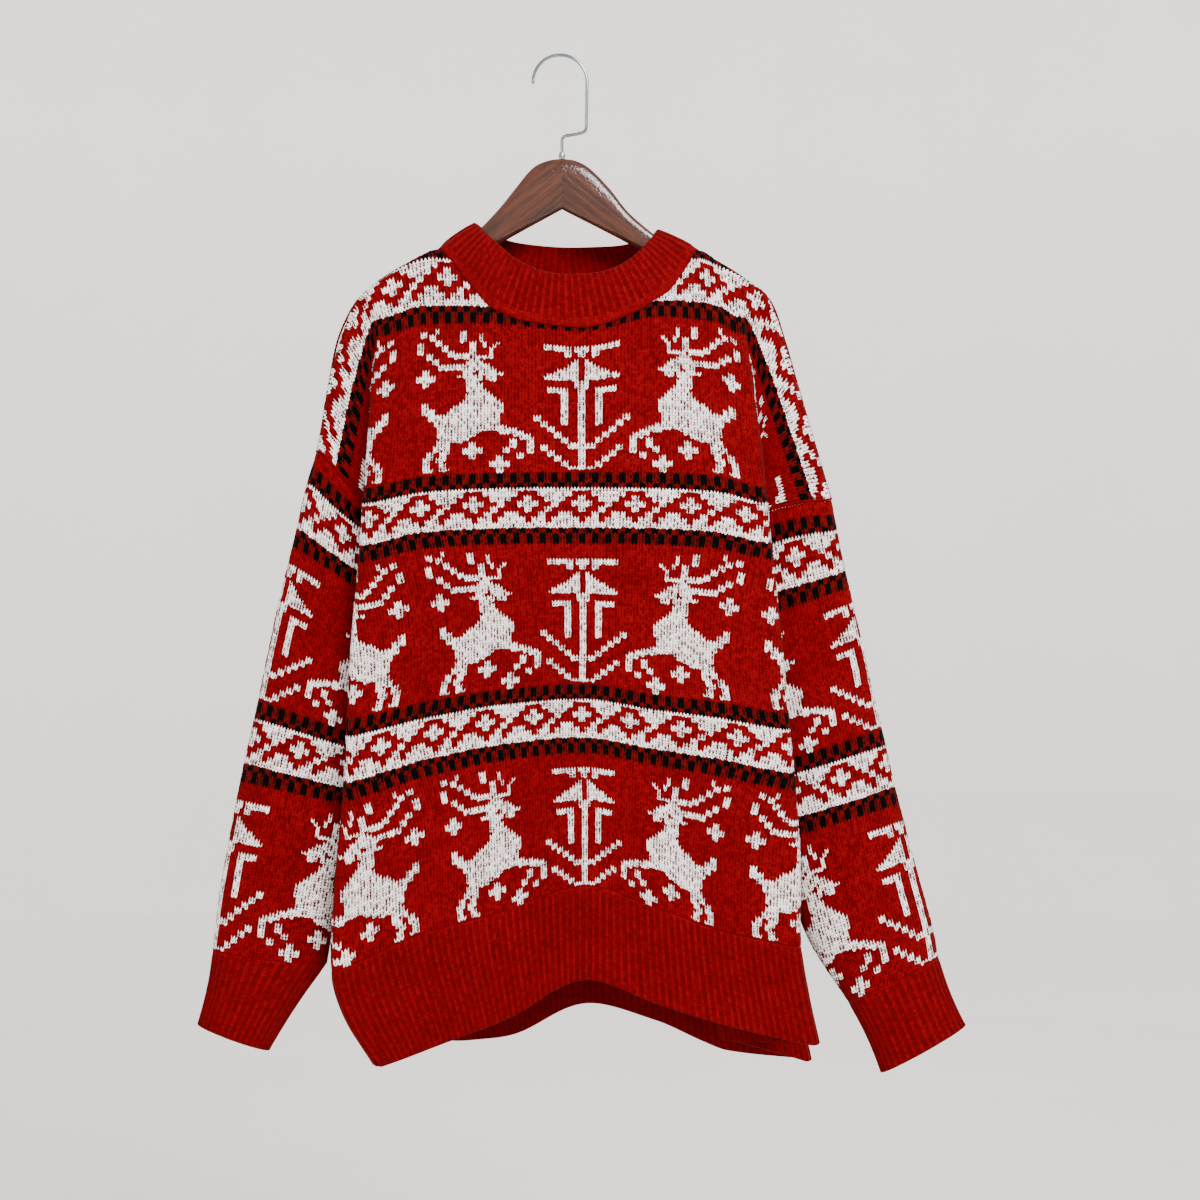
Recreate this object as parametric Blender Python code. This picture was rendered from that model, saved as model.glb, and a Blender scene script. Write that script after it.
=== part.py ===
"""Knitted christmas sweater on a wooden hanger, hanging from the hook.

Millimetres in the tables, metres in the meshes. X runs to the viewer's right,
-Y towards the viewer, Z up. The origin is the inside top of the hook.
"""
import math

import bmesh
import bpy
import numpy as np

MM = 0.001

# ---- driving dimensions, in millimetres and stitches -------------------------------------
WALL = 2.6              # knitted cloth
RIB_HEIGHT = 0.9        # a rib stands this far out of its wall
LEAD = 0.2              # first station past a fold, on the way to the middle of the cloth behind it
SEAM_GAP = 0.3          # between neighbouring pieces
HEM_GAP = 0.45          # between a panel and its hem band
NECK_GAP = 0.6          # between the neckline and the collar
NECK_CORNER_GAP = 1.5   # the same at the shoulder corners, where the edge turns
UNDERARM_GAP = 0.6      # where panel, sleeve and side seam meet
STITCH = 3.0            # one stitch across the front
MOTIF_X = 22.8          # the middle stitch of the front hangs here
PANEL_HALF = 102        # stitches from the middle stitch to either side edge
HEM_ROW = 240           # row where the knitted pattern ends and the rib starts
HEM_END = 276           # last row of the rib
YOKE_ROW = 27           # above it the levels across a panel bend up to the shoulder line
UNDERARM_ROW = 95       # the armhole ends here
FOLD_R = 8.0            # outer radius of the cloth at the long side folds
SEAM_R = 3.5            # outer radius of the cloth where it turns into the side seam
HEM_RIBS = 82           # ribs on each hem band
CUFF_RIBS = 36
COLLAR_RIBS = 76
COLLAR_FRONT_SHARE = 0.54   # of the collar's ribs, those in front of the shoulders
COLLAR_BULGE = 1.5      # the folded-over collar is this much fuller halfway up
RIM_STEPS = 8           # steps of the collar's rim between two of its points
ARM_HALF = 6.5          # half the thickness of the hanger's wood
WIRE_R = 1.5            # hook wire
WIRE_SIDES = 12
HOOK_R = 24.3           # the hook's arc, at the middle of the wire
FERRULE_R = 3.2
FERRULE_TAPER = 0.85    # its top radius against its foot
FERRULE_TOP = -86.5
FERRULE_BOTTOM = -91.4
SHARP = math.radians(45)

LEFT, RIGHT = -1, 1
FRONT, BACK = -1, 1

# Side folds of the body: the cloth runs out to the fold, turns back and goes in to the seam.
# row, fold x, front y, back y, front z, back z, turn (degrees), seam x, seam y, seam z,
# bend at the seam, bulge and sag of the cloth between fold and seam
FOLD_TABLE = {
    LEFT: np.array([
        (27, -165, -18, 17, -253, -253, 80, -190, 13, -382, 0, 0, 0),
        (40, -167, -28, 26, -286, -286, 120, -168, 13.5, -400, 0, 0, 0),
        (54, -168.5, -35, 32, -321, -321, 140, -146, 12, -412, 0, -3.4, 0),
        (67, -170.5, -40, 35, -354, -354, 150, -125, 12, -424, 6, 3.5, 9),
        (81, -173, -43, 37, -389, -388, 155, -104, 9, -441, 7, 5.5, 12),
        (95, -175.5, -44, 38, -422, -422, 157, -86, 0.15, -465, 6, 5.5, 6.5),
        (108, -177.5, -44.5, 38, -455, -456, 157, -78, 0.15, -495, 4, 3, 3),
        (135, -183.7, -45, 38, -522, -527, 157, -84, 0.15, -560, 3.5, 3, 0),
        (162, -187.6, -45.5, 39, -592, -600, 157, -98, 0.15, -625, 3.5, 3, 0),
        (189, -191.6, -46, 40, -664, -673, 157, -110, 0.15, -690, 3.5, 3, 0),
        (216, -198.6, -46, 40, -742, -746, 157, -119, 0.15, -752, 3.5, 3, 0),
        (240, -201.3, -46, 40, -814, -812, 157, -124, 0.15, -805, 3.5, 3, 0),
        (258, -190, -46, 41, -856, -852, 157, -116, 0.15, -846, 3.5, 3, 0),
        (276, -163, -46, 42, -900, -890, 157, -104, 0.15, -885, 3.5, 3, 0),
    ]),
    RIGHT: np.array([
        (27, 166.5, -18, 17, -251, -251, 80, 216, 13, -401, 0, 0, 0),
        (40, 171, -28, 26, -284, -284, 120, 188, 13.5, -408, 0, 0, 0),
        (54, 175, -35, 32, -320, -320, 140, 163, 12, -420, 0, -3.4, 0),
        (67, 179.5, -40, 35, -353, -353, 150, 141, 12, -430, 6, 3.5, 9),
        (81, 182.7, -43, 37, -388, -388, 155, 119, 9, -446, 7, 5.5, 12),
        (95, 186, -44, 38, -421, -422, 157, 100, 0.15, -470, 6, 5.5, 6.5),
        (108, 189.3, -44.5, 38, -452, -456, 157, 92, 0.15, -499, 4, 3, 3),
        (135, 196.4, -45, 38, -520, -527, 157, 97, 0.15, -562, 3.5, 3, 0),
        (162, 202.5, -45.5, 39, -587, -602, 157, 109, 0.15, -626, 3.5, 3, 0),
        (189, 209, -46, 40, -655, -677, 157, 121, 0.15, -690, 3.5, 3, 0),
        (216, 213.5, -46, 40, -726, -755, 157, 130, 0.15, -752, 3.5, 3, 0),
        (240, 213.5, -46, 40, -793, -826, 157, 135, 0.15, -805, 3.5, 3, 0),
        (258, 220.5, -46, 41, -838, -868, 157, 140, 0.15, -846, 3.5, 3, 0),
        (276, 230, -46, 42, -881, -911, 157, 147, 0.15, -885, 3.5, 3, 0),
    ]),
}

# The two stations where the cloth turns into the side seam, as shares of the bend: out, forward
# and, where there is no bend, back along the cloth
SEAM_TURNS = ((0.6, 1.0, 0.08), (0.174, 0.55, 0.04))

# Broad faces of the body, by row: y and z at the middle, the quarter and the outer station.
# row, mid y, mid z, left quarter y, z, left outer y, z, right quarter y, z, right outer y, z
FACE_TABLE = {
    FRONT: np.array([
        (27, -42, -251.5, -38, -244, -24, -244.4, -36, -238, -22, -242),
        (54, -46, -314, -45, -310, -38, -312, -44, -307, -37, -310),
        (81, -49, -375.8, -49, -376.2, -46, -380.5, -49, -376, -46, -379.5),
        (108, -51, -438.6, -50, -439.2, -48, -444.3, -50, -439.5, -48, -443.6),
        (162, -52, -561.7, -51, -567, -49, -579.5, -51, -570.4, -49, -577.8),
        (189, -53, -621.9, -52, -629.8, -50, -646, -52, -632.5, -50, -643),
        (240, -54, -739.1, -54, -763, -52, -783.5, -54, -757, -52, -778.5),
        (276, -56, -821.8, -56, -854.3, -54, -878, -56, -843.7, -54, -863.8),
    ]),
    BACK: np.array([
        (27, 34, -252.6, 32, -248, 22, -244, 31, -248, 21, -243),
        (54, 37, -318, 36, -314, 32, -312, 36, -313, 31, -312),
        (81, 38, -384, 38, -382, 37, -380, 38, -382, 37, -380),
        (108, 39, -450, 39, -450, 38, -450, 39, -450, 38, -450),
        (162, 40, -584, 40, -588, 39, -592, 40, -587, 39, -592),
        (189, 42, -650, 42, -659, 41, -665, 42, -657, 41, -665),
        (240, 44, -776, 44, -803, 42, -812, 44, -792, 42, -818),
        (276, 46, -861, 46, -889, 44, -895, 46, -877, 44, -904),
    ]),
}
QUARTER = {LEFT: -26, RIGHT: 20}
OUTER = {LEFT: -50, RIGHT: 40}
# The cloth above the neckline, which is cut away, still guides the surface at its edge.
# y and z at row 0 of the middle and of the quarter stations
NECK_GUIDE = {
    FRONT: {0: (-31, -188), LEFT: (-20, -180), RIGHT: (-19, -176)},
    BACK: {0: (27, -186), LEFT: (20, -181), RIGHT: (19, -181)},
}

# Shoulder line over the hanger and down the dropped shoulder.
# stitch, row, x, z
SHOULDER = {
    LEFT: np.array([
        (-42.4, 0, -109.8, -173.7),
        (-50, 3.5, -137, -185.5),
        (-57.4, 6, -163.8, -201.6),
        (-66, 8.5, -184, -221),
        (-73.4, 10, -198.5, -250.2),
        (-82, 11, -206.1, -283.5),
        (-89.4, 11, -210.6, -313.2),
        (-102, 11, -218.7, -355.5),
    ]),
    RIGHT: np.array([
        (33, 0, 125.1, -174.6),
        (40, 2, 141, -183.5),
        (46, 4, 162, -196.5),
        (54.6, 7, 189, -219),
        (62, 9, 201.6, -252.9),
        (70.6, 10.5, 211.5, -287),
        (86.6, 11, 228.6, -345.6),
        (102, 11, 243.9, -397.8),
    ]),
}
# Cloth over the shoulder: rows below the line, y, drop towards the inside
SHOULDER_ROLL = np.array([(0, 0.15, 0), (2, 5.8, 0.7), (4.5, 10.6, 5.2)])

# Neckline on each panel: stitch, row
NECKLINE = {
    FRONT: np.array([(-42.4, 0), (-41, 4), (-35, 12), (-28, 20.5), (-20, 24), (0, 24.5),
                     (10, 24), (17, 22.5), (25, 17), (31, 7), (33, 0)]),
    BACK: np.array([(-42.4, 0), (-38, 5), (-28, 7.5), (0, 8), (20, 7.5), (29, 5), (33, 0)]),
}

# Mesh rows down a panel, and mesh columns from each station to the next, from the middle to the seam
LEVELS = [0, 2, 4.5, 12, 20, 27, 40, 54, 60, 67, 81, 95,
          108, 121, 135, 149, 162, 176, 189, 203, 216, 228, 240]
ARMHOLE_LEVELS = LEVELS[:LEVELS.index(UNDERARM_ROW) + 1]
NECK_LEVEL = 54         # levels below the neckline are spread evenly down to this one
SPLITS = [(0, 1 / 3, 2 / 3), (0, 0.45, 0.8), (0,), (0,), (0,), (0,), (0,), (0,),
          (0, 0.5), (0, 0.5), (0,), (0,)]
# Way through the cloth at the lower armhole, where panel and sleeve both hang from the seam:
# level, towards the body, towards the middle plane, up
ARMHOLE_INSIDE = np.array([(54, 0.1, 1, 0), (67, 0.3, 0.6, 0.6), (81, 0.2, 0.5, 0.8), (95, 0, 0, 1)])

# Rim of the collar, clockwise from above, starting at the left: x, y, z
COLLAR_RIM = np.array([
    (-77, 0, -150), (-66, -17, -163), (-52, -28, -177), (-38, -34, -189), (-18, -39, -199),
    (5, -41, -203), (36, -40, -201), (56, -36, -193), (71, -29, -181), (83, -15, -166),
    (88.5, 0, -156), (81, 15, -161), (57, 30, -166), (28, 38, -167), (0, 40, -167),
    (-28, 37, -165), (-50, 27, -162), (-68, 14, -155),
])

# Sleeves: outer edge from the shoulder end to the cuff, then the inner edge from the underarm.
# x, z of each
SLEEVE_OUTER = {
    LEFT: np.array([(-218.7, -355.5), (-229.5, -390.6), (-237.6, -426.6), (-254.7, -496.8),
                    (-272.7, -583.2), (-287.1, -648), (-305.1, -744.3), (-312.5, -803.7)]),
    RIGHT: np.array([(243.9, -397.8), (253.8, -448.2), (270, -518.4), (288.9, -601.2),
                     (304.2, -666.9), (324, -741.6), (335.7, -784.8), (340.2, -809.1)]),
}
SLEEVE_INNER = {
    LEFT: np.array([(-86, -465), (-112, -520), (-140, -590), (-165, -655), (-187, -720),
                    (-203, -780), (-209.7, -816)]),
    RIGHT: np.array([(100, -470), (127, -525), (155, -590), (180, -655), (202, -725),
                     (222, -792), (258.3, -849)]),
}
SLEEVE_ROWS = 167
SLEEVE_RINGS = [6, 16, 30, 46, 66, 90, 116, 142, SLEEVE_ROWS]
ARMHOLE_BLEND = 50      # rows over which the armhole's form passes into the plain sleeve
# Half the thickness of a hanging sleeve: row, y
SLEEVE_DEPTH = np.array([(0, 13.5), (30, 14), (85, 18), (167, 18)])
CUFF_END = {            # outer and inner corner of the cuff's mouth
    LEFT: ((-325.8, -870.3), (-261.9, -893.7)),
    RIGHT: ((364.5, -871.2), (288.9, -913.5)),
}
CUFF_DEPTH = 13.0

# Hanger: each half's outline, x and z: the bare top edge from the middle, then, past the part
# that follows the shoulder line under the cloth, the rounded tip and the edge underneath
HANGER_X = 1.8
ARM_DROP = 4.5          # top of the wood under the outside of the cloth
ARM_ROUND = 4.0         # radius of its long edges
ARM_TOP = {
    LEFT: ((1.65, -91.8), (-11, -93.5), (-24.3, -99.9), (-39.6, -117.9), (-54, -135.9),
           (-69.3, -152.4), (-84, -166), (-103, -181.5)),
    RIGHT: ((1.95, -91.8), (14, -93.5), (26.1, -99.9), (44.1, -117.9), (62.1, -140.4),
            (87.3, -162), (103, -174.5), (119, -183)),
}
ARM_FOOT = {
    LEFT: ((-181, -233), (-178, -240), (-170, -240), (-140, -218), (-54, -168.3), (1.65, -137.7)),
    RIGHT: ((185.5, -231), (183, -239), (175, -240), (146, -219), (72.9, -174.6), (1.95, -137.7)),
}
# Hook wire below its half circle: x and z along the straight stretches, and for the two bends
# their centre, radius, first and last angle
HOOK_LEG = ((24.2, -34), (24.0, -48), (23.7, -60))
HOOK_ELBOW = ((18.7, -63.5), 5.0, -4, -82)
HOOK_RUN = ((13.5, -70),)
HOOK_FOOT = ((7.1, -76.3), 5.4, 92, 176)
HOOK_STEM = ((HANGER_X, -81), (HANGER_X, FERRULE_TOP + SEAM_GAP))


# ---- curves and surfaces -----------------------------------------------------------------
def smooth(knots, values, at):
    """Smooth curve through the values at the knots, straight beyond both ends."""
    knots = np.asarray(knots, float)
    values = np.asarray(values, float)
    at = np.asarray(at, float)
    steps = np.diff(knots)
    slopes = np.diff(values, axis=0) / steps[:, None]
    chords = (values[2:] - values[:-2]) / (knots[2:] - knots[:-2])[:, None]
    tangents = np.concatenate([slopes[:1], chords, slopes[-1:]])
    k = np.clip(np.searchsorted(knots, at, side="right") - 1, 0, len(steps) - 1)
    step = steps[k][:, None]
    t = np.clip((at - knots[k]) / steps[k], 0, 1)[:, None]
    inside = (values[k] * (2 * t ** 3 - 3 * t ** 2 + 1)
              + tangents[k] * step * (t ** 3 - 2 * t ** 2 + t)
              + values[k + 1] * (3 * t ** 2 - 2 * t ** 3)
              + tangents[k + 1] * step * (t ** 3 - t ** 2))
    over = (np.minimum(at - knots[0], 0)[:, None] * tangents[0]
            + np.maximum(at - knots[-1], 0)[:, None] * tangents[-1])
    return inside + over


def unit(vectors):
    """The same vectors at length 1."""
    return vectors / np.maximum(np.linalg.norm(vectors, axis=-1, keepdims=True), 1e-9)


def shoulder_row(stitch):
    """Row where the shoulder line cuts this stitch; row 0 across the neck."""
    left, right = SHOULDER[LEFT], SHOULDER[RIGHT]
    stitches = np.concatenate([left[::-1, 0], right[:, 0]])
    rows = np.concatenate([left[::-1, 1], right[:, 1]])
    return np.interp(stitch, stitches, rows)


def row_to_level(stitch, row):
    """Levels start at 0 on the shoulder line and are the rows themselves below the yoke."""
    top = shoulder_row(stitch)
    return np.where(np.asarray(row) < YOKE_ROW, (row - top) / (1 - top / YOKE_ROW), row)


def shoulder_points(side, stitch, face):
    """Cloth rolling over the shoulder at one stitch: levels and points."""
    path = SHOULDER[side]
    order = np.argsort(path[:, 0])
    here, ahead = smooth(path[order, 0], path[order][:, 2:], [stitch, stitch + side * 0.5])
    run = unit(ahead - here)
    inside = np.array([side * run[1], -side * run[0]])
    points = [(here[0] + inside[0] * drop, face * y, here[1] + inside[1] * drop)
              for _, y, drop in SHOULDER_ROLL]
    return list(SHOULDER_ROLL[:, 0]), points


def fold_stations(face, side, row):
    """Stitch and point of each station of a side fold, from the fold's start to the seam."""
    x, y_front, y_back, z_front, z_back, turn, seam_x, seam_y, seam_z, bend, bulge, sag = row[1:]
    y, z = (y_front, z_front) if face == FRONT else (y_back, z_back)
    turn = math.radians(turn)
    centre = x - side * FOLD_R
    angles = np.linspace(0, turn, 4)
    arc = [(centre + side * FOLD_R * math.sin(a), y - face * FOLD_R * (1 - math.cos(a)), z)
           for a in angles]
    seam = np.array([seam_x, face * seam_y, seam_z])
    middle = (np.array(arc[-1]) + seam) / 2 + np.array([side * sag / 2, face * bulge, -sag])
    straight = 1 - min(bend / SEAM_R, 1)
    turns = [seam + np.array([side * bend * out, face * bend * forward, 0])
             + (middle - seam) * back * straight
             for out, forward, back in SEAM_TURNS]
    lead = arc[-1] + (middle - arc[-1]) * LEAD
    return arc + [lead, middle] + turns + [seam]


def fold_stitches(side, row):
    """Stitch numbers of the same stations."""
    table = FOLD_TABLE[side]
    x = np.interp(min(row, HEM_ROW), table[:, 0], table[:, 1])
    turn = math.radians(np.interp(row, table[:, 0], table[:, 6]))
    start = (x - side * FOLD_R - MOTIF_X) / STITCH
    arc = [start + side * FOLD_R * turn * share / 3 / STITCH for share in range(4)]
    seam_arc = side * SEAM_R * math.pi / 2 / STITCH
    edge = side * PANEL_HALF
    middle = (arc[-1] + edge - seam_arc) / 2
    lead = arc[-1] + (middle - arc[-1]) * LEAD
    return arc + [lead, middle, edge - seam_arc, edge - seam_arc / 2, edge]


def face_stations(face, side):
    """Rows, and for each the points of the middle, quarter and outer stations."""
    table = FACE_TABLE[face]
    fold = FOLD_TABLE[side]
    columns = ((1, 2), (3, 4), (5, 6)) if side == LEFT else ((1, 2), (7, 8), (9, 10))
    rows = table[:, 0]
    result = []
    for stitch, (y_column, z_column) in zip((0, QUARTER[side], OUTER[side]), columns):
        fold_x = np.interp(rows, fold[:, 0], fold[:, 1]) - side * FOLD_R
        start = np.array([fold_stitches(side, row)[0] for row in rows])
        x = MOTIF_X + stitch * (fold_x - MOTIF_X) / start
        result.append(np.stack([x, table[:, y_column], table[:, z_column]], axis=1))
    return rows, result


def build_net(face, side):
    """Each station of one side of a panel: stitch by level, and point by level."""
    rows, (middle, quarter, outer) = face_stations(face, side)
    fold_rows = FOLD_TABLE[side][:, 0]
    folds = np.array([fold_stations(face, side, row) for row in FOLD_TABLE[side]])
    stitches = np.array([fold_stitches(side, row) for row in fold_rows])
    neck = SHOULDER[side][0, 0]
    starts = smooth(fold_rows, folds[:, 0], rows)
    neck_points = []
    for k in range(len(rows)):
        across = [0, QUARTER[side], OUTER[side], fold_stitches(side, rows[k])[0]]
        order = np.argsort(across)
        points = np.array([middle[k], quarter[k], outer[k], starts[k]])
        neck_points.append(smooth(np.array(across)[order], points[order], [neck])[0])
    net = []
    for stitch, points in ((0, middle), (QUARTER[side], quarter)):
        guide_y, guide_z = NECK_GUIDE[face][side if stitch else 0]
        guide = (MOTIF_X + stitch * STITCH, guide_y, guide_z)
        net.append((stitch, [0, *rows], [guide, *points], None))
    for stitch, points in ((neck, neck_points), (OUTER[side], outer)):
        levels, roll = shoulder_points(side, stitch, face)
        net.append((stitch, [*levels, *rows], [*roll, *points], None))
    for k in range(folds.shape[1]):
        levels, roll = shoulder_points(side, stitches[0, k], face)
        net.append((stitches[0, k], [*levels, *fold_rows], [*roll, *folds[:, k]],
                    (fold_rows, stitches[:, k])))
    return net


def net_at(net, level):
    """Stitches and points of all stations of a net at one level."""
    stitches = []
    points = []
    for stitch, levels, values, moving in net:
        points.append(smooth(levels, values, [level])[0])
        stitches.append(stitch if moving is None else np.interp(level, *moving))
    return stitches, points


NETS = {face: {side: build_net(face, side) for side in (LEFT, RIGHT)} for face in (FRONT, BACK)}


def panel_stations(face, level):
    """All stations across a panel at one level, from the left edge to the right edge."""
    left_stitches, left_points = net_at(NETS[face][LEFT], level)
    right_stitches, right_points = net_at(NETS[face][RIGHT], level)
    return (np.array(left_stitches[::-1] + right_stitches[1:]),
            np.array(left_points[::-1] + right_points[1:]))


def panel(face, stitches, level):
    """Points of a panel's outside at these stitches on one level."""
    return smooth(*panel_stations(face, level), stitches)


# ---- meshes ------------------------------------------------------------------------------
def grid_normals(grid, ring):
    """Unit normals of a grid of points, rows down and columns across, wrapping if it is a ring."""
    if ring:
        wrapped = np.concatenate([grid[:, -1:], grid, grid[:, :1]], axis=1)
        across = wrapped[:, 2:] - wrapped[:, :-2]
    else:
        across = np.gradient(grid, axis=1)
    return unit(np.cross(across, -np.gradient(grid, axis=0)))


def shell(name, outer, inner, ring, material):
    """Closed wall between two grids of points; the outer one may have twice the columns."""
    spare = 0 if ring else 1
    finer = (outer.shape[1] - spare) // (inner.shape[1] - spare)
    bm = bmesh.new()
    sheets = [[[bm.verts.new(point * MM) for point in row] for row in grid]
              for grid in (outer, inner)]
    for sheet, grid in zip(sheets, (outer, inner)):
        columns = grid.shape[1]
        for i in range(grid.shape[0] - 1):
            for j in range(columns - spare):
                k = (j + 1) % columns
                bm.faces.new((sheet[i][j], sheet[i][k], sheet[i + 1][k], sheet[i + 1][j]))
    out, ins = sheets
    for i in (0, -1):
        for j in range(inner.shape[1] - spare):
            k = (j + 1) % inner.shape[1]
            edge = [out[i][(j * finer + step) % outer.shape[1]] for step in range(finer + 1)]
            if finer == 1:
                bm.faces.new((edge[0], edge[1], ins[i][k], ins[i][j]))
            else:
                bm.faces.new((edge[0], edge[1], ins[i][j]))
                bm.faces.new((edge[1], ins[i][k], ins[i][j]))
                bm.faces.new((edge[1], edge[2], ins[i][k]))
    if not ring:
        for j in (0, -1):
            for i in range(outer.shape[0] - 1):
                bm.faces.new((out[i][j], out[i + 1][j], ins[i + 1][j], ins[i][j]))
    return finish(bm, name, material)


def finish(bm, name, material):
    """Turn a built form into a named piece, smooth but for its sharp edges."""
    bmesh.ops.recalc_face_normals(bm, faces=bm.faces)
    mesh = bpy.data.meshes.new(name)
    bm.to_mesh(mesh)
    bm.free()
    mesh.shade_smooth()
    mesh.set_sharp_from_angle(angle=SHARP)
    mesh.materials.append(material)
    piece = bpy.data.objects.new(name, mesh)
    bpy.context.scene.collection.objects.link(piece)
    return piece


def principled(name, colour, roughness, metallic=0.0):
    """A plain surface material."""
    material = bpy.data.materials.new(name)
    material.use_nodes = True
    shader = material.node_tree.nodes["Principled BSDF"]
    shader.inputs["Base Color"].default_value = (*colour, 1)
    shader.inputs["Roughness"].default_value = roughness
    shader.inputs["Metallic"].default_value = metallic
    material.diffuse_color = (*colour, 1)
    return material


# ---- panels ------------------------------------------------------------------------------
def panel_columns():
    """Column positions in stations, from the left edge to the right edge."""
    half = []
    for number, split in enumerate(SPLITS):
        half += [number + share for share in split]
    half = np.array([*half, len(SPLITS)], float)
    return np.concatenate([-half[:0:-1], half]) + len(SPLITS)


def panel_grid(face):
    """Outer points of a panel and the stitch of each, cut along the neckline."""
    columns = panel_columns()
    top_stitches, _ = panel_stations(face, 0)
    top = np.interp(columns, np.arange(len(top_stitches)), top_stitches)
    neckline = NECKLINE[face]
    neck = np.array([float(row_to_level(stitch, np.interp(stitch, *neckline.T)))
                     if neckline[0, 0] < stitch < neckline[-1, 0] else 0.0 for stitch in top])
    points = np.empty((len(LEVELS), len(columns), 3))
    stitches = np.empty((len(LEVELS), len(columns)))
    for j, column in enumerate(columns):
        for i, level in enumerate(LEVELS):
            if neck[j] > 0 and level < NECK_LEVEL:
                level = neck[j] + (NECK_LEVEL - neck[j]) * level / NECK_LEVEL
            across, _ = panel_stations(face, level)
            stitches[i, j] = np.interp(column, np.arange(len(across)), across)
            points[i, j] = panel(face, [stitches[i, j]], level)[0]
    return points, stitches


def panel_walls(face):
    """Outer and inner points of a panel, and its stitches."""
    outer, stitches = panel_grid(face)
    normals = grid_normals(outer, False)
    if np.sum(normals[:, :, 1]) * face < 0:
        normals = -normals
    for i, level in enumerate(LEVELS):
        if ARMHOLE_INSIDE[0, 0] < level <= UNDERARM_ROW:
            inwards, middle, up = (np.interp(level, ARMHOLE_INSIDE[:, 0], column)
                                   for column in ARMHOLE_INSIDE.T[1:])
            for column, side in ((0, LEFT), (-1, RIGHT)):
                normals[i, column] = unit(np.array([side * inwards, face * middle, -up]))
    inner = outer - normals * WALL
    inner[:, :, 1] = face * np.maximum(inner[:, :, 1] * face, SEAM_GAP / 2)
    return outer, inner, stitches


def hem_band(face, panel_outer, panel_inner, panel_stitches, material, name):
    """Ribbed band that hangs on from the panel's lower edge."""
    stitches = np.linspace(-PANEL_HALF, PANEL_HALF, 2 * HEM_RIBS + 1)
    edges = []
    for moved in beyond(panel_outer[-1], panel_outer[-2], panel_inner[-1], HEM_GAP):
        edges.append(np.stack([np.interp(stitches, panel_stitches[-1], moved[:, k])
                               for k in range(3)], axis=1))
    lower = [panel(face, stitches, level) for level in ((HEM_ROW + HEM_END) / 2, HEM_END)]
    outer = np.array([edges[0], *lower])
    normals = grid_normals(outer, False)
    if np.sum(normals[:, :, 1]) * face < 0:
        normals = -normals
    inner = outer - normals * WALL
    inner[0] = edges[1]
    normals[0] = unit(edges[0] - edges[1])
    ridge = RIB_HEIGHT * (np.arange(len(stitches)) % 2)[None, :, None]
    inner[:, :, 1] = face * np.maximum(inner[:, :, 1] * face, SEAM_GAP / 2)
    return shell(name, outer + normals * ridge, inner[:, ::2], False, material)


# ---- sleeves and cuffs -------------------------------------------------------------------
def along(path, share):
    """Point at a share of a path's length."""
    lengths = np.concatenate([[0], np.cumsum(np.linalg.norm(np.diff(path, axis=0), axis=1))])
    return smooth(lengths, path, [share * lengths[-1]])[0]


def sleeve_ring(side, row, count):
    """Outer points round a sleeve at one row, from the outer edge round the front."""
    share = row / SLEEVE_ROWS
    out = along(SLEEVE_OUTER[side], share)
    ins = along(SLEEVE_INNER[side], share)
    angles = np.arange(count) / count * 2 * math.pi
    across = (1 - np.cos(angles)) / 2
    flat = out + (ins - out) * across[:, None]
    depth = -np.sin(angles) * np.interp(row, *SLEEVE_DEPTH.T)
    return np.stack([flat[:, 0], depth, flat[:, 1]], axis=1)


def beyond(edge, beside, inner_edge, gap):
    """An edge's outer and inner points moved off it, square to the edge and along the cloth."""
    run = unit(np.gradient(edge, axis=0))
    away = edge - beside
    away = unit(away - run * np.sum(away * run, axis=1, keepdims=True)) * gap
    return edge + away, inner_edge + away


def armhole(side, panels):
    """Outer and inner points of the sleeve's top edge, just off the panels' edges."""
    half = {}
    for face in (FRONT, BACK):
        outer, inner, _ = panels[face]
        column, beside = (0, 1) if side == LEFT else (-1, -2)
        levels = len(ARMHOLE_LEVELS)
        half[face] = beyond(outer[:levels, column], outer[:levels, beside],
                            inner[:levels, column], SEAM_GAP)
    rings = []
    for layer in (0, 1):
        front, back = half[FRONT][layer], half[BACK][layer]
        top = (front[0] + back[0]) / 2
        rings.append([top, *front[1:-1], None, *back[-2:0:-1]])
    outer, _, _ = panels[FRONT]
    corner = outer[len(ARMHOLE_LEVELS) - 1, 0 if side == LEFT else -1]
    under = len(ARMHOLE_LEVELS) - 1
    rings[0][under] = np.array([corner[0] + side * UNDERARM_GAP, 0, corner[2] + SEAM_GAP])
    rings[1][under] = rings[0][under] + np.array([0, 0, WALL])
    return np.array(rings[0]), np.array(rings[1])


def sleeve_walls(side, panels):
    """Outer and inner points of a sleeve."""
    top_outer, top_inner = armhole(side, panels)
    count = len(top_outer)
    start = sleeve_ring(side, 0, count)
    grid = [top_outer]
    for row in SLEEVE_RINGS:
        ring = sleeve_ring(side, row, count)
        t = min(row / ARMHOLE_BLEND, 1)
        keep = 1 - t * t * (3 - 2 * t)
        grid.append(keep * (top_outer + ring - start) + (1 - keep) * ring)
    outer = np.array(grid)
    normals = grid_normals(outer, True) * -side
    inner = outer - normals * WALL
    inner[0] = top_inner
    axis = sleeve_axis(side)
    flat = unit(normals[-1] - axis * (normals[-1] @ axis)[:, None])
    inner[-1] = outer[-1] - flat * WALL
    return outer, inner


def sleeve_axis(side):
    """Unit direction square to the sleeve's last ring, pointing down."""
    out = SLEEVE_OUTER[side][-1]
    ins = SLEEVE_INNER[side][-1]
    across = (ins - out) * side
    return unit(np.array([-across[1], 0, across[0]]))


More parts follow.
